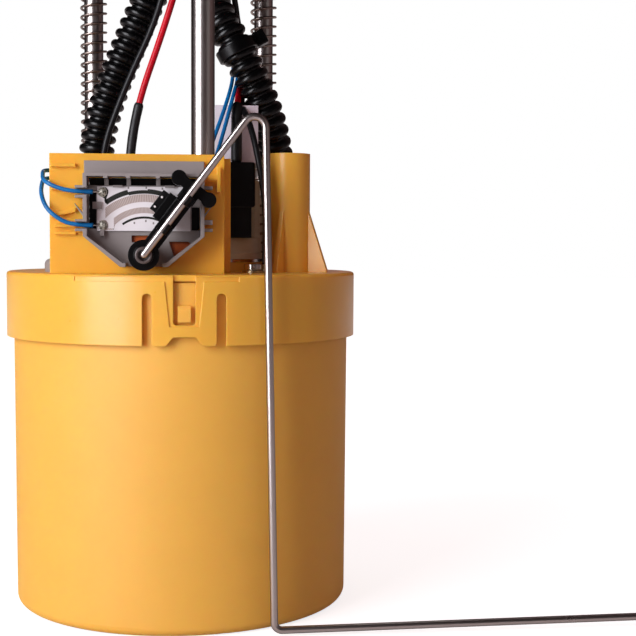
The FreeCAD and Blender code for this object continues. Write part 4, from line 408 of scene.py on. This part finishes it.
NODE_LOOKS = {
    "reservoir_lid": "orange_lid",
    "reservoir_cup": "orange_cup",
    "float_wire": "polished_wire",
    "guide_rod_left": "polished_rod",
    "guide_rod_right": "polished_rod",
    "guide_rod_centre": "polished_rod",
    "card_rivets": "solder_bead",
    "contact_plate": "contact_face",
}

for entry in frame["record"]["subparts"]:
    mesh = frame["nodes"][entry["node"]].data
    mesh.materials.clear()
    mesh.materials.append(MATERIALS[NODE_LOOKS.get(entry["node"], entry["material_slot"])])


# Meshes, and the solids they take the place of

def piece(name, verts, faces, slot, look=None, smooth=True):
    """A visible piece: its look is the slot's own, unless another is named."""
    mesh = bpy.data.meshes.new(name)
    mesh.from_pydata(verts, [], faces)
    mesh.validate()
    for polygon in mesh.polygons:
        polygon.use_smooth = smooth
    mesh.materials.append(MATERIALS[look or slot])
    thing = bpy.data.objects.new(name, mesh)
    bpy.context.scene.collection.objects.link(thing)
    return thing


def carried(thing, node):
    """A piece that runs from the lid to the flange, baked in place, which takes the place of the node's
    solid: that solid is hidden.
    """
    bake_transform(thing)
    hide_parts(node)


def tube_faces(rings, sides, closed=False):
    """The faces between rings of points: in a closed tube the last ring joins the first."""
    faces = []
    for ring in range(rings if closed else rings - 1):
        here, there = ring * sides, (ring + 1) % rings * sides
        for step in range(sides):
            follow = (step + 1) % sides
            faces.append((here + step, here + follow, there + follow, there + step))
    return faces


def end_faces(rings, sides):
    """The faces that close an open tube at its two ends."""
    return [tuple(reversed(range(sides))), tuple(range((rings - 1) * sides, rings * sides))]


# Meshes that follow a line

def points(*rows):
    """A route's points, written in millimetres."""
    return [Vector(row) * MM for row in rows]


def line_of(route):
    """The points of a quadratic NURBS spline that has the route's points as its control points."""
    data = bpy.data.curves.new("route", "CURVE")
    data.dimensions = "3D"
    data.resolution_u = 12
    spline = data.splines.new("NURBS")
    spline.points.add(len(route) - 1)
    for point, place in zip(spline.points, route):
        point.co = (*place, 1.0)
    spline.order_u = 3
    spline.use_endpoint_u = True
    holder = bpy.data.objects.new("route", data)
    bpy.context.scene.collection.objects.link(holder)
    bpy.context.view_layer.update()
    mesh = bpy.data.meshes.new_from_object(holder)
    line = [vertex.co.copy() for vertex in mesh.vertices]
    bpy.data.objects.remove(holder)
    bpy.data.meshes.remove(mesh)
    bpy.data.curves.remove(data)
    return line


def evenly(line, step):
    """Places a step apart along a line, with their distances from its start."""
    lengths = [0.0]
    for here, there in zip(line, line[1:]):
        lengths.append(lengths[-1] + (there - here).length)
    count = max(2, int(round(lengths[-1] / step)))
    places, segment = [], 0
    for index in range(count + 1):
        wanted = lengths[-1] * index / count
        while segment < len(lengths) - 2 and lengths[segment + 1] < wanted:
            segment += 1
        share = (wanted - lengths[segment]) / (lengths[segment + 1] - lengths[segment])
        places.append((line[segment].lerp(line[segment + 1], share), wanted))
    return places


def frames_along(line):
    """Two directions across the line at each of its points, which don't twist."""
    tangents = []
    for index in range(len(line)):
        before, after = line[max(0, index - 1)], line[min(len(line) - 1, index + 1)]
        tangents.append((after - before).normalized())
    side = tangents[0].orthogonal().normalized()
    frames = []
    for tangent in tangents:
        side = (side - tangent * side.dot(tangent)).normalized()
        frames.append((side, tangent.cross(side)))
    return frames


def sweep(line, radius_at, sides):
    """Rings round a line, closed at both ends: radius_at(distance, length) gives each ring's radius."""
    places = [place for place, distance in line]
    length = line[-1][1]
    verts = []
    for (place, distance), (side, up) in zip(line, frames_along(places)):
        radius = radius_at(distance, length)
        for step in range(sides):
            turn = 2 * math.pi * step / sides
            verts.append(place + (side * math.cos(turn) + up * math.sin(turn)) * radius)
    return verts, tube_faces(len(line), sides) + end_faces(len(line), sides)


def cord(name, route, radius, slot, step=1.2 * MM, sides=14):
    """A cord of one thickness."""
    verts, faces = sweep(evenly(line_of(route), step), lambda distance, length: radius, sides)
    return piece(name, verts, faces, slot)


# Routes of the hoses and leads, in millimetres, from the lid to the flange

LEFT_HOSE = points(
    (-31.5, 8, 122.3), (-31.5, 8, 142), (-31.9, 8, 171.5), (-14.5, 8, 214.3), (-7, 8, 230), (-7, 8, 252))
RIGHT_HOSE = points(
    (37, 11, 122.3), (37, 11, 137), (35.6, 7.5, 155), (33, 0, 170.5), (27.4, -5.4, 185),
    (18.9, -6.4, 200.6), (11.6, -3.4, 214.4), (7, 8, 229), (7, 8, 252))
BLACK_LEAD = points(
    (-24.7, -17, 110.8), (-24.7, -17, 131.5), (-30.3, -3.6, 158), (-21.3, -3.2, 184),
    (-7.3, -3.2, 214), (-4.4, -5.6, 236), (-5.4, -9, 254.5))
RED_LEAD = points(
    (-21.3, -17, 110.8), (-21.3, -17, 128.5), (-19.6, -9, 148.5), (-17, -8, 176),
    (-6.5, -7.5, 206), (0.2, -8, 228), (-1.6, -10, 254.5))
PUMP_LEAD = points(
    (19.3, -12, 150.5), (19.3, -12, 166), (19.4, -12, 177), (20.4, -3.2, 183.6), (22, 3, 191),
    (21.8, 3.8, 199), (17.4, 4.4, 209), (16, 2.6, 218), (13, -4.6, 229), (9.4, -8.4, 241),
    (5.8, -9.4, 254.5))
GROUND_LEAD = points(
    (28.6, -29.4, 122.2), (28.6, -29.4, 126.3), (29.2, -26.6, 134.6), (28.6, -24.6, 146.6),
    (26.2, -23.6, 160.6), (23.6, -18.4, 172.6), (20.9, -4.2, 180.4), (23.4, 4.4, 187.4),
    (24.4, 5.6, 198), (20.6, 5.2, 209), (19.2, 1.6, 219), (15.4, -4.8, 230), (9.2, -11, 241),
    (9.2, -11, 254.5))
BLUE_REAR = points(
    (-2, -23.5, 154.2), (3.2, -23.5, 154.3), (7.4, -23.6, 157.7), (9.6, -22.6, 162.4),
    (12.2, -18.4, 169.4), (15, -14.4, 177.4), (17.2, -9.6, 184.4), (18.6, 3, 190.4),
    (18.8, 5.4, 198), (15, 5.2, 207.4), (6.6, 6.4, 218), (0.2, 1.2, 229), (0.4, -6.4, 240),
    (1.2, -10.6, 254.5))
BLUE_FRONT = points(
    (-2, -23.5, 151.6), (4.4, -23.5, 151.7), (9.4, -23.6, 154.4), (11.8, -23.2, 159.8),
    (14, -19.4, 167), (16.4, -15.2, 175.6), (18.4, -10.6, 183.2), (20.2, 1.2, 189),
    (20.6, 3.6, 197), (16.4, 3.6, 207), (8.2, 5, 217.6), (1.6, -0.6, 228.6), (3, -8.2, 240),
    (3.5, -12.2, 254.5))

# Routes of the sender's own leads, in millimetres, from the card round the block's left end

SENDER_UPPER = points(
    (TIP_X, TIP_Y, UPPER_TIP), (-34.2, -48.4, UPPER_TIP), (-39.8, -48, 147.1), (-45.5, -46.6, 149.7),
    (-46.4, -39, 152.7), (-46.8, -30.5, 154), (-44.5, -24.8, 154.3), (-36, -23.5, 154.2),
    (-26, -23.3, 154.1), (-14, -23.5, 154.2), (-2, -23.5, 154.2))
SENDER_LOWER = points(
    (TIP_X, TIP_Y, LOWER_TIP), (-34.2, -48.4, LOWER_TIP), (-39.2, -48.5, 136.5), (-44.3, -47.6, 140.4),
    (-46.5, -44.6, 145.6), (-46.8, -37, 149.6), (-46.8, -30.5, 151.2), (-44.5, -24.6, 151.7),
    (-36, -23.5, 151.6), (-26, -23.3, 151.5), (-14, -23.5, 151.6), (-2, -23.5, 151.6))


# Hoses

def ridge(distance, length):
    """The radius of a corrugated hose: rounded ridges between narrow grooves, with plain cuffs."""
    if min(distance, length - distance) < HOSE_CUFF:
        return CUFF_RADIUS
    share = (distance - HOSE_CUFF) / HOSE_PITCH % 1.0
    offset = (2 * share - 1) / RIDGE_SHARE
    return HOSE_GROOVE + (HOSE_OUTER - HOSE_GROOVE) * max(0.0, 1 - offset * offset) ** 0.5


def make_hose(name, route, node):
    verts, faces = sweep(evenly(line_of(route), HOSE_PITCH / RIDGE_RINGS), ridge, 36)
    carried(piece(name, verts, faces, "hose_black"), node)


make_hose("left_hose_corrugated", LEFT_HOSE, "hose_left")
make_hose("right_hose_corrugated", RIGHT_HOSE, "hose_right")


# Springs

def make_spring(name, node):
    """A compression spring with closed ends, as tall as its solid."""
    low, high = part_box(node)
    middle = (low + high) / 2
    height = high.z - low.z - 2 * SPRING_WIRE
    open_turns = round(height / SPRING_PITCH)
    all_turns = open_turns + 2 * CLOSED_TURNS
    line = []
    for index in range(int(all_turns * STEPS_PER_TURN) + 1):
        turn = index / STEPS_PER_TURN
        if turn < CLOSED_TURNS:
            rise = CLOSED_HEIGHT * turn / CLOSED_TURNS
        elif turn > open_turns + CLOSED_TURNS:
            rise = height - CLOSED_HEIGHT * (all_turns - turn) / CLOSED_TURNS
        else:
            rise = CLOSED_HEIGHT + (height - 2 * CLOSED_HEIGHT) * (turn - CLOSED_TURNS) / open_turns
        angle = 2 * math.pi * turn
        centre = Vector((middle.x, middle.y, low.z + SPRING_WIRE + rise))
        place = centre + Vector((math.cos(angle), math.sin(angle), 0)) * SPRING_RADIUS
        line.append((place, SPRING_RADIUS * angle))
    verts, faces = sweep(line, lambda distance, length: SPRING_WIRE, 8)
    carried(piece(name, verts, faces, "spring_steel"), node)


make_spring("left_spring_coil", "spring_left")
make_spring("right_spring_coil", "spring_right")


# Leads

def make_sleeve(name, route, low, high, radius, node):
    """A shrunk sleeve along a lead between two heights, tapered at its ends and a little uneven."""
    places = [(place, distance) for place, distance in evenly(line_of(route), 0.5 * MM)
              if low <= place.z <= high]
    first = places[0][1]
    line = [(place, distance - first) for place, distance in places]

    def radius_at(distance, length):
        end = min(distance, length - distance) / SLEEVE_TAPER
        uneven = SLEEVE_UNEVEN * noise.noise(Vector((distance * 400, radius * 900, 0)))
        return radius - SLEEVE_NECK * max(0.0, 1 - end) ** 2 + uneven

    verts, faces = sweep(line, radius_at, 20)
    carried(piece(name, verts, faces, "heat_shrink"), node)


def flared(distance, length):
    """The radius of a sender lead: its insulation is a little wider where it was stripped."""
    return SIGNAL_RADIUS * (1 + SENDER_FLARE * (1 - min(1.0, distance / SENDER_FLARE_LENGTH)))


carried(cord("black_lead_cord", BLACK_LEAD, LEAD_RADIUS, "black_wire"), "black_lead")
carried(cord("red_lead_cord", RED_LEAD, LEAD_RADIUS, "red_wire"), "red_lead")
carried(cord("pump_lead_cord", PUMP_LEAD, LEAD_RADIUS, "red_wire"), "pump_lead")
carried(cord("ground_lead_cord", GROUND_LEAD, GROUND_RADIUS, "black_wire"), "ground_lead")
carried(cord("blue_cord_rear", BLUE_REAR, SIGNAL_RADIUS, "blue_wire"), "blue_lead_rear")
carried(cord("blue_cord_front", BLUE_FRONT, SIGNAL_RADIUS, "blue_wire"), "blue_lead_front")
make_sleeve("red_lead_shrink", RED_LEAD, *SLEEVE_LEFT_ENDS, SLEEVE_LEFT, "red_lead_sleeve")
make_sleeve("pump_lead_shrink", PUMP_LEAD, *SLEEVE_RIGHT_ENDS, SLEEVE_RIGHT, "pump_lead_sleeve")

for name, route in (("sender_cord_upper", SENDER_UPPER), ("sender_cord_lower", SENDER_LOWER)):
    verts, faces = sweep(evenly(line_of(route), 0.6 * MM), flared, 14)
    lead = piece(name, verts, faces, "blue_wire")
    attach(lead, "reservoir")
    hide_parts("sender_leads")


# Cable tie round the right hose and its leads

TIED_LEADS = (
    (PUMP_LEAD, LEAD_RADIUS),
    (GROUND_LEAD, GROUND_RADIUS),
    (BLUE_REAR, SIGNAL_RADIUS),
    (BLUE_FRONT, SIGNAL_RADIUS),
)
CROSSING_NEARNESS = 0.001


def crossing(route, place, normal):
    """Where a route meets the plane through a place: of two such points, the nearer one."""
    def miss(point):
        away = point - place
        return abs(away.dot(normal)) + CROSSING_NEARNESS * away.length

    return min(line_of(route), key=miss)


def chamfered_block(width, depth, height, chamfer):
    """A block with all its edges chamfered, and a slot sunk in its front for the strap's tail."""
    mesh = bmesh.new()
    bmesh.ops.create_cube(mesh, size=1.0)
    bmesh.ops.scale(mesh, vec=(width, depth, height), verts=mesh.verts)
    bmesh.ops.bevel(mesh, geom=list(mesh.edges), offset=chamfer, segments=2, profile=0.5, affect="EDGES")
    front = [face for face in mesh.faces if face.normal.y < -0.99]
    bmesh.ops.inset_individual(mesh, faces=front, thickness=width * 0.22)
    sunk = list({vertex for face in front for vertex in face.verts})
    bmesh.ops.translate(mesh, vec=(0, depth * 0.12, 0), verts=sunk)
    mesh.verts.index_update()
    verts = [vertex.co.copy() for vertex in mesh.verts]
    faces = [tuple(vertex.index for vertex in face.verts) for face in mesh.faces]
    mesh.free()
    return verts, faces


def make_cable_tie():
    """A strap drawn tight round what it holds, with its head at the right."""
    hose = line_of(RIGHT_HOSE)
    middle = min(range(len(hose)), key=lambda index: abs(hose[index].z - TIE_HEIGHT))
    place = hose[middle]
    along = (hose[middle - 1] - hose[middle + 1]).normalized()
    side = (Vector((1, 0, 0)) - along * along.x).normalized()
    depth = along.cross(side)
    held = [(Vector((0, 0)), HOSE_OUTER)]
    for route, radius in TIED_LEADS:
        away = crossing(route, place, along) - place
        held.append((Vector((away.dot(side), away.dot(depth))), radius))
    half, (top, flank) = TIE_WIDTH / 2, TIE_ROUNDING
    section = ((0.0, -half), (0.0, half), (TIE_THICKNESS - top, half), (TIE_THICKNESS, half - flank),
               (TIE_THICKNESS, flank - half), (TIE_THICKNESS - top, -half))
    verts, reach = [], 0.0
    for step in range(TIE_STEPS):
        angle = 2 * math.pi * step / TIE_STEPS
        out = Vector((math.cos(angle), math.sin(angle)))
        centre, radius = max(held, key=lambda circle: circle[0].dot(out) + circle[1])
        touch = centre + out * radius
        reach = max(reach, touch.x)
        for rise, shift in section:
            spot = touch + out * (rise + TIE_GAP)
            verts.append(place + side * spot.x + depth * spot.y + along * shift)
    faces = tube_faces(TIE_STEPS, len(section), closed=True)
    head_verts, head_faces = chamfered_block(*TIE_HEAD, TIE_HEAD_CHAMFER)
    centre = Vector((reach + TIE_THICKNESS - TIE_HEAD_SUNK + TIE_HEAD[0] / 2, -TIE_HEAD_FORWARD, 0))
    first = len(verts)
    for spot in head_verts:
        spot += centre
        verts.append(place + side * spot.x + depth * spot.y + along * spot.z)
    faces += [tuple(first + index for index in face) for face in head_faces]
    carried(piece("cable_tie_strap", verts, faces, "black_plastic", smooth=False), "cable_tie")


make_cable_tie()


# The resistor card's print: outlines about the pivot in millimetres

def arc(radius, start, end, steps=40):
    """Points on an arc about the middle, between two angles in degrees."""
    angles = [math.radians(start + (end - start) * step / steps) for step in range(steps + 1)]
    return [(radius * math.cos(angle), radius * math.sin(angle)) for angle in angles]


PRINT_OUTLINES = (
    arc(22.1, 126.5, 104.5) + arc(20.5, 104.5, 126.5),
    arc(21.35, 104.5, 87) + arc(20.2, 87, 104.5),
    arc(21.75, 87, 50) + arc(20.2, 50, 87),
    arc(20.0, 129.6, 48) + arc(17.5, 48, 136.7),
    arc(15.7, 129.6, 50) + arc(13.8, 50, 134) + [(-10, 8.5)],
    arc(12.7, 125.5, 54) + arc(12.0, 54, 125.5),
    [(-13.9, 22.1), (-12.5, 22.2), (-11.8, 21.2), (-11.8, 20.3), (-12.2, 19.2), (-12.4, 18.4),
     (-11.9, 17.2), (-12.8, 17.0), (-13.1, 18.6), (-13.9, 19.0)],
    [(-13.7, 11.5), (-12.4, 11.3), (-11.84, 10.2), (-11.9, 9.0), (-12.1, 8.75), (-10, 8.6),
     (-10, 8.35), (-12.4, 8.2), (-13.7, 8.3)],
)
TICK_PLACES = ((-5.2, 22.1), (0.64, 22.15), (5.95, 21.9), (-3.3, 10.54), (0.46, 11.19), (2.97, 10.47))
TICK_OUTLINE = ((-0.25, -0.35), (-0.25, 0.35), (0.25, 0.35), (0.25, -0.35))


def prism(name, outline, front, back, slot, look=None):
    """A flat piece of the sender between two depths, from its outline about the pivot."""
    verts = [Vector((PIVOT.x + x * MM, y, PIVOT.z + z * MM)) for y in (front, back) for x, z in outline]
    count = len(outline)
    faces = [tuple(range(count)), tuple(reversed(range(count, 2 * count)))]
    faces += [tuple(reversed(face)) for face in tube_faces(2, count)]
    thing = piece(name, verts, faces, slot, look, smooth=False)
    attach(thing, "reservoir")
    return thing


for number, outline in enumerate(PRINT_OUTLINES):
    band = prism(f"card_print_{number}", outline, CARD_FACE - PRINT_RISE, CARD_FACE, "printed_track")
    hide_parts("card_tracks")
for number, (x, z) in enumerate(TICK_PLACES):
    tick = [(x + dx, z + dz) for dx, dz in TICK_OUTLINE]
    prism(f"card_mark_{number}", tick, CARD_FACE - PRINT_RISE / 2, CARD_FACE, "printed_track", "grey_plastic")


# The card's soldered terminals

def make_bead(name, x, z):
    """A soldered joint: a lumpy dome drawn out towards the lead's tip."""
    rings, sides = 12, 28
    across, tall, high = BEAD_SIZE
    foot = Vector((PIVOT.x + x * MM, CARD_FACE, PIVOT.z + z * MM))
    verts = []
    for ring in range(rings):
        lift = 0.5 * math.pi * ring / rings
        for step in range(sides):
            turn = 2 * math.pi * step / sides
            pull = 1 + BEAD_DRAWN * max(0.0, -math.cos(turn)) ** 4
            spot = Vector((across * pull * math.cos(turn) * math.cos(lift), -high * math.sin(lift),
                           tall * math.sin(turn) * math.cos(lift)))
            spot *= 1 + BEAD_LUMPS * noise.noise(spot * BEAD_LUMP_SCALE + Vector((z, 0, 0)))
            verts.append(foot + spot)
    verts.append(foot - Vector((0, high, 0)))
    top, last = rings * sides, (rings - 1) * sides
    faces = tube_faces(rings, sides)
    faces += [(last + step, last + (step + 1) % sides, top) for step in range(sides)]
    faces.append(tuple(reversed(range(sides))))
    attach(piece(name, verts, faces, "contact_metal", "solder_bead"), "reservoir")


for number, (x, z) in enumerate(BEAD_PLACES):
    make_bead(f"solder_bead_{number}", x, z)
for number, height in enumerate((UPPER_TIP, LOWER_TIP)):
    strands = points((TIP_X - 0.6, TIP_Y, height), (-28.4, TIP_Y, height), (-27.6, -48.1, height),
                     (-26.7, -47.9, height))
    tip = cord(f"lead_tip_{number}", strands, BARE_RADIUS, "contact_metal", step=0.3 * MM, sides=12)
    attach(tip, "reservoir")


# The arm's clips over the float wire

def make_jaw(number, start, end):
    """A clip that wraps over the float wire, open where the wire was pressed in."""
    inner, outer = WIRE_RADIUS + 0.03 * MM, WIRE_RADIUS + JAW_THICKNESS
    shoulder = outer - JAW_ROUNDING * MM
    section = ((inner, start), (shoulder, start), (outer, start + JAW_ROUNDING),
               (outer, end - JAW_ROUNDING), (shoulder, end), (inner, end))
    first, last = JAW_OPEN[1], 360 + JAW_OPEN[0]
    steps = 28
    verts = []
    for step in range(steps + 1):
        turn = math.radians(first + (last - first) * step / steps)
        out = Vector((0, -1, 0)) * math.cos(turn) + ACROSS_ARM * math.sin(turn)
        verts += [WIRE_AXIS + out * radius + ALONG_ARM * reach * MM for radius, reach in section]
    faces = tube_faces(steps + 1, len(section))
    faces += [tuple(reversed(face)) for face in end_faces(steps + 1, len(section))]
    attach(piece(f"wire_jaw_{number}", verts, faces, "black_plastic", smooth=False), "float_arm")


make_jaw(0, start=9.3, end=12.9)
make_jaw(1, start=20.8, end=24.4)


# Walls behind the frame's openings, about the pivot in millimetres: a black back wall, and two thin dark
# orange walls that are painted shade of a deeper recess in the block

def rounded_box(left, right, bottom, top, corner):
    """The outline of a box with rounded corners, in the same sense as the print's."""
    corners = ((right - corner, top - corner, 0), (left + corner, top - corner, 90),
               (left + corner, bottom + corner, 180), (right - corner, bottom + corner, 270))
    outline = [(x + dx, z + dz) for x, z, start in corners for dx, dz in arc(corner, start, start + 90, 6)]
    return outline[::-1]


LINING_OUTLINE = rounded_box(left=-18.1, right=18.1, bottom=8.1, top=25.2, corner=1.2)
LINING_DEPTHS = (-44.0 * MM, -43.3 * MM)
# Outlines and depths of the two thin sheets of painted shade on the block's face, behind the frame's lower
# openings.
RECESS_LEFT = ((-4.2, 4.2), (4.0, 4.2), (4.0, 6.3), (-4.2, 6.3))
RECESS_RIGHT = ((9.9, -1.3), (15.8, 3.0), (14.4, 4.3), (8.2, 4.3))
RECESS_DEPTHS = (-45.3 * MM, -45.0 * MM)

prism("frame_back_wall", LINING_OUTLINE, *LINING_DEPTHS, "black_plastic")
# Painted shade: dark orange sheets where the block would lie in shade.
prism("recess_painted_shade_left", RECESS_LEFT, *RECESS_DEPTHS, "orange_plastic", "orange_deep")
prism("recess_painted_shade_right", RECESS_RIGHT, *RECESS_DEPTHS, "orange_plastic", "orange_deep")


# The hub and the wire's end in it

def make_hub_ring():
    """The bevelled grey ring round the wire's end."""
    raised = HUB_FRONT - HUB_RING_RISE
    profile = ((1.9 * MM, raised), (2.7 * MM, raised), (2.8 * MM, HUB_FRONT), (1.8 * MM, HUB_FRONT))
    sides = 48
    verts = []
    for step in range(sides):
        turn = 2 * math.pi * step / sides
        verts += [Vector((PIVOT.x + radius * math.cos(turn), y, PIVOT.z + radius * math.sin(turn)))
                  for radius, y in profile]
    faces = [tuple(reversed(face)) for face in tube_faces(sides, len(profile), closed=True)]
    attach(piece("hub_inner_ring", verts, faces, "black_plastic", "hub_grey"), "float_arm")


def make_wire_end():
    """The rounded end of the float wire."""
    line = []
    for step in range(9):
        distance = WIRE_RADIUS * (1 - math.cos(0.5 * math.pi * step / 8))
        line.append((WIRE_AXIS + ALONG_ARM * (WIRE_START + distance - WIRE_RADIUS), distance))

    def rounded(distance, length):
        return max(0.02 * MM, math.sqrt(max(0.0, WIRE_RADIUS ** 2 - (WIRE_RADIUS - distance) ** 2)))

    verts, faces = sweep(line, rounded, 24)
    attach(piece("float_wire_end", verts, faces, "steel", "polished_wire"), "float_arm")


make_hub_ring()
make_wire_end()


# Floor, backdrop and light

FLOOR_SIZE = 4.0
FLOOR_LEVEL = -0.2 * MM
FLOOR_NEAR = 0.79
FLOOR_PALES = (0.12, 0.7)
FLOOR_MIRRORED = (0.04, 0.5)
FLOOR_BRIGHTENS = (0.1, 0.8)
ROOM_DARK = 0.01
ROOM_RIGHT = 0.09
ROOM_RIGHT_SPAN = (-0.1, 0.9)
ROOM_BEHIND = 0.4
ROOM_BEHIND_SPAN = (0.94, 0.995)
WORLD_LEVEL = 0.34
WORLD_COLOR = (1.0, 0.62, 0.62)
WHITE = (1, 1, 1)
LAMPS = {
    "key": dict(place=(-0.57, -0.55, 0.33), size=(0.46, 0.64), power=7.4, color=(1.0, 1.0, 1.06)),
    "fill": dict(place=(1.1, -0.9, 0.5), size=(0.8, 0.8), power=0.3, color=WHITE),
    "top": dict(place=(-0.2, 0.3, 1.2), size=(0.8, 0.8), power=2.0, color=WHITE),
}
LAMP_TARGET = Vector((0, 0, 0.10))
CAMERA_PLACE = (0.0, -0.4929, 0.13075)
CAMERA_LENS = 75.46
CAMERA_TURNS = ((-5.814, "Z"), (86.658, "X"), (0.277, "Z"))


def mirrored_rays(tree, path):
    """One for what is seen in a mirroring surface or through a clear one, and else nought."""
    return tree.math("MAXIMUM", path["Is Glossy Ray"], path["Is Transmission Ray"])


def make_floor():
    """A floor that is white to the camera but for a faint shade, and dark in what metal mirrors."""
    mesh = bpy.data.meshes.new("floor")
    signs = ((-1, -1), (1, -1), (1, 1), (-1, 1))
    mesh.from_pydata([(x * FLOOR_SIZE, y * FLOOR_SIZE, FLOOR_LEVEL) for x, y in signs], [], [(0, 1, 2, 3)])
    floor = bpy.data.objects.new("floor", mesh)
    bpy.context.scene.collection.objects.link(floor)
    nodes = Nodes("floor_white")
    path = nodes.add("ShaderNodeLightPath").outputs
    away = nodes.vector("LENGTH", nodes.place, output="Value")
    pale = nodes.between(away, FLOOR_NEAR, 1.0, *FLOOR_PALES)
    mirror = nodes.between(nodes.split(nodes.place)["Y"], *FLOOR_MIRRORED, *FLOOR_BRIGHTENS)
    seen = nodes.math("MAXIMUM", nodes.math("MULTIPLY", path["Is Camera Ray"], pale),
                      nodes.math("MULTIPLY", mirrored_rays(nodes, path), mirror))
    nodes.set(Base_Color=(0.5, 0.5, 0.5), Roughness=0.9, Emission_Color=WHITE, Emission_Strength=seen)
    mesh.materials.append(nodes.material)


def make_world():
    """White where the camera looks, a dim warm light on the object, and a dark room, paler at the right."""
    world = bpy.data.worlds.new("studio")
    bpy.context.scene.world = world
    world.use_nodes = True
    world.node_tree.nodes.clear()
    tree = Tree(world.node_tree)
    path = tree.add("ShaderNodeLightPath").outputs
    camera = path["Is Camera Ray"]
    place = tree.split(tree.add("ShaderNodeTexCoord").outputs["Generated"])
    smooth = {"interpolation_type": "SMOOTHSTEP"}
    rightward = tree.math("ADD", place["X"], place["Y"])
    right = tree.between(rightward, ROOM_DARK, ROOM_RIGHT, *ROOM_RIGHT_SPAN, **smooth)
    behind = tree.between(place["Y"], 0.0, ROOM_BEHIND, *ROOM_BEHIND_SPAN, **smooth)
    room = tree.math("ADD", right, behind)
    inputs = {"Factor": mirrored_rays(tree, path), "A": WORLD_LEVEL, "B": room}
    level = tree.add("ShaderNodeMix", inputs).outputs["Result"]
    background = tree.add("ShaderNodeBackground", {"Color": tree.mix(camera, WORLD_COLOR, WHITE),
                                                   "Strength": tree.math("MAXIMUM", camera, level)})
    tree.add("ShaderNodeOutputWorld", {"Surface": background.outputs[0]})


def placed(name, data, place):
    """A lamp or camera at its place."""
    thing = bpy.data.objects.new(name, data)
    bpy.context.scene.collection.objects.link(thing)
    thing.location = place
    return thing


def make_lamp(name, place, size, power, color):
    data = bpy.data.lights.new(name, "AREA")
    data.shape = "RECTANGLE"
    data.size, data.size_y = size
    data.energy = power
    data.color = color
    lamp = placed(name, data, place)
    lamp.rotation_euler = (LAMP_TARGET - lamp.location).to_track_quat("-Z", "Y").to_euler()


def make_camera():
    data = bpy.data.cameras.new("camera")
    data.lens = CAMERA_LENS
    data.sensor_width = 36.0
    data.clip_start = 0.01
    camera = placed("camera", data, CAMERA_PLACE)
    first, second, third = [Matrix.Rotation(math.radians(angle), 3, axis) for angle, axis in CAMERA_TURNS]
    camera.rotation_euler = (first @ second @ third).to_euler()
    bpy.context.scene.camera = camera


make_floor()
make_world()
for name, settings in LAMPS.items():
    make_lamp(name, **settings)
make_camera()
bpy.context.scene.view_settings.view_transform = "Standard"
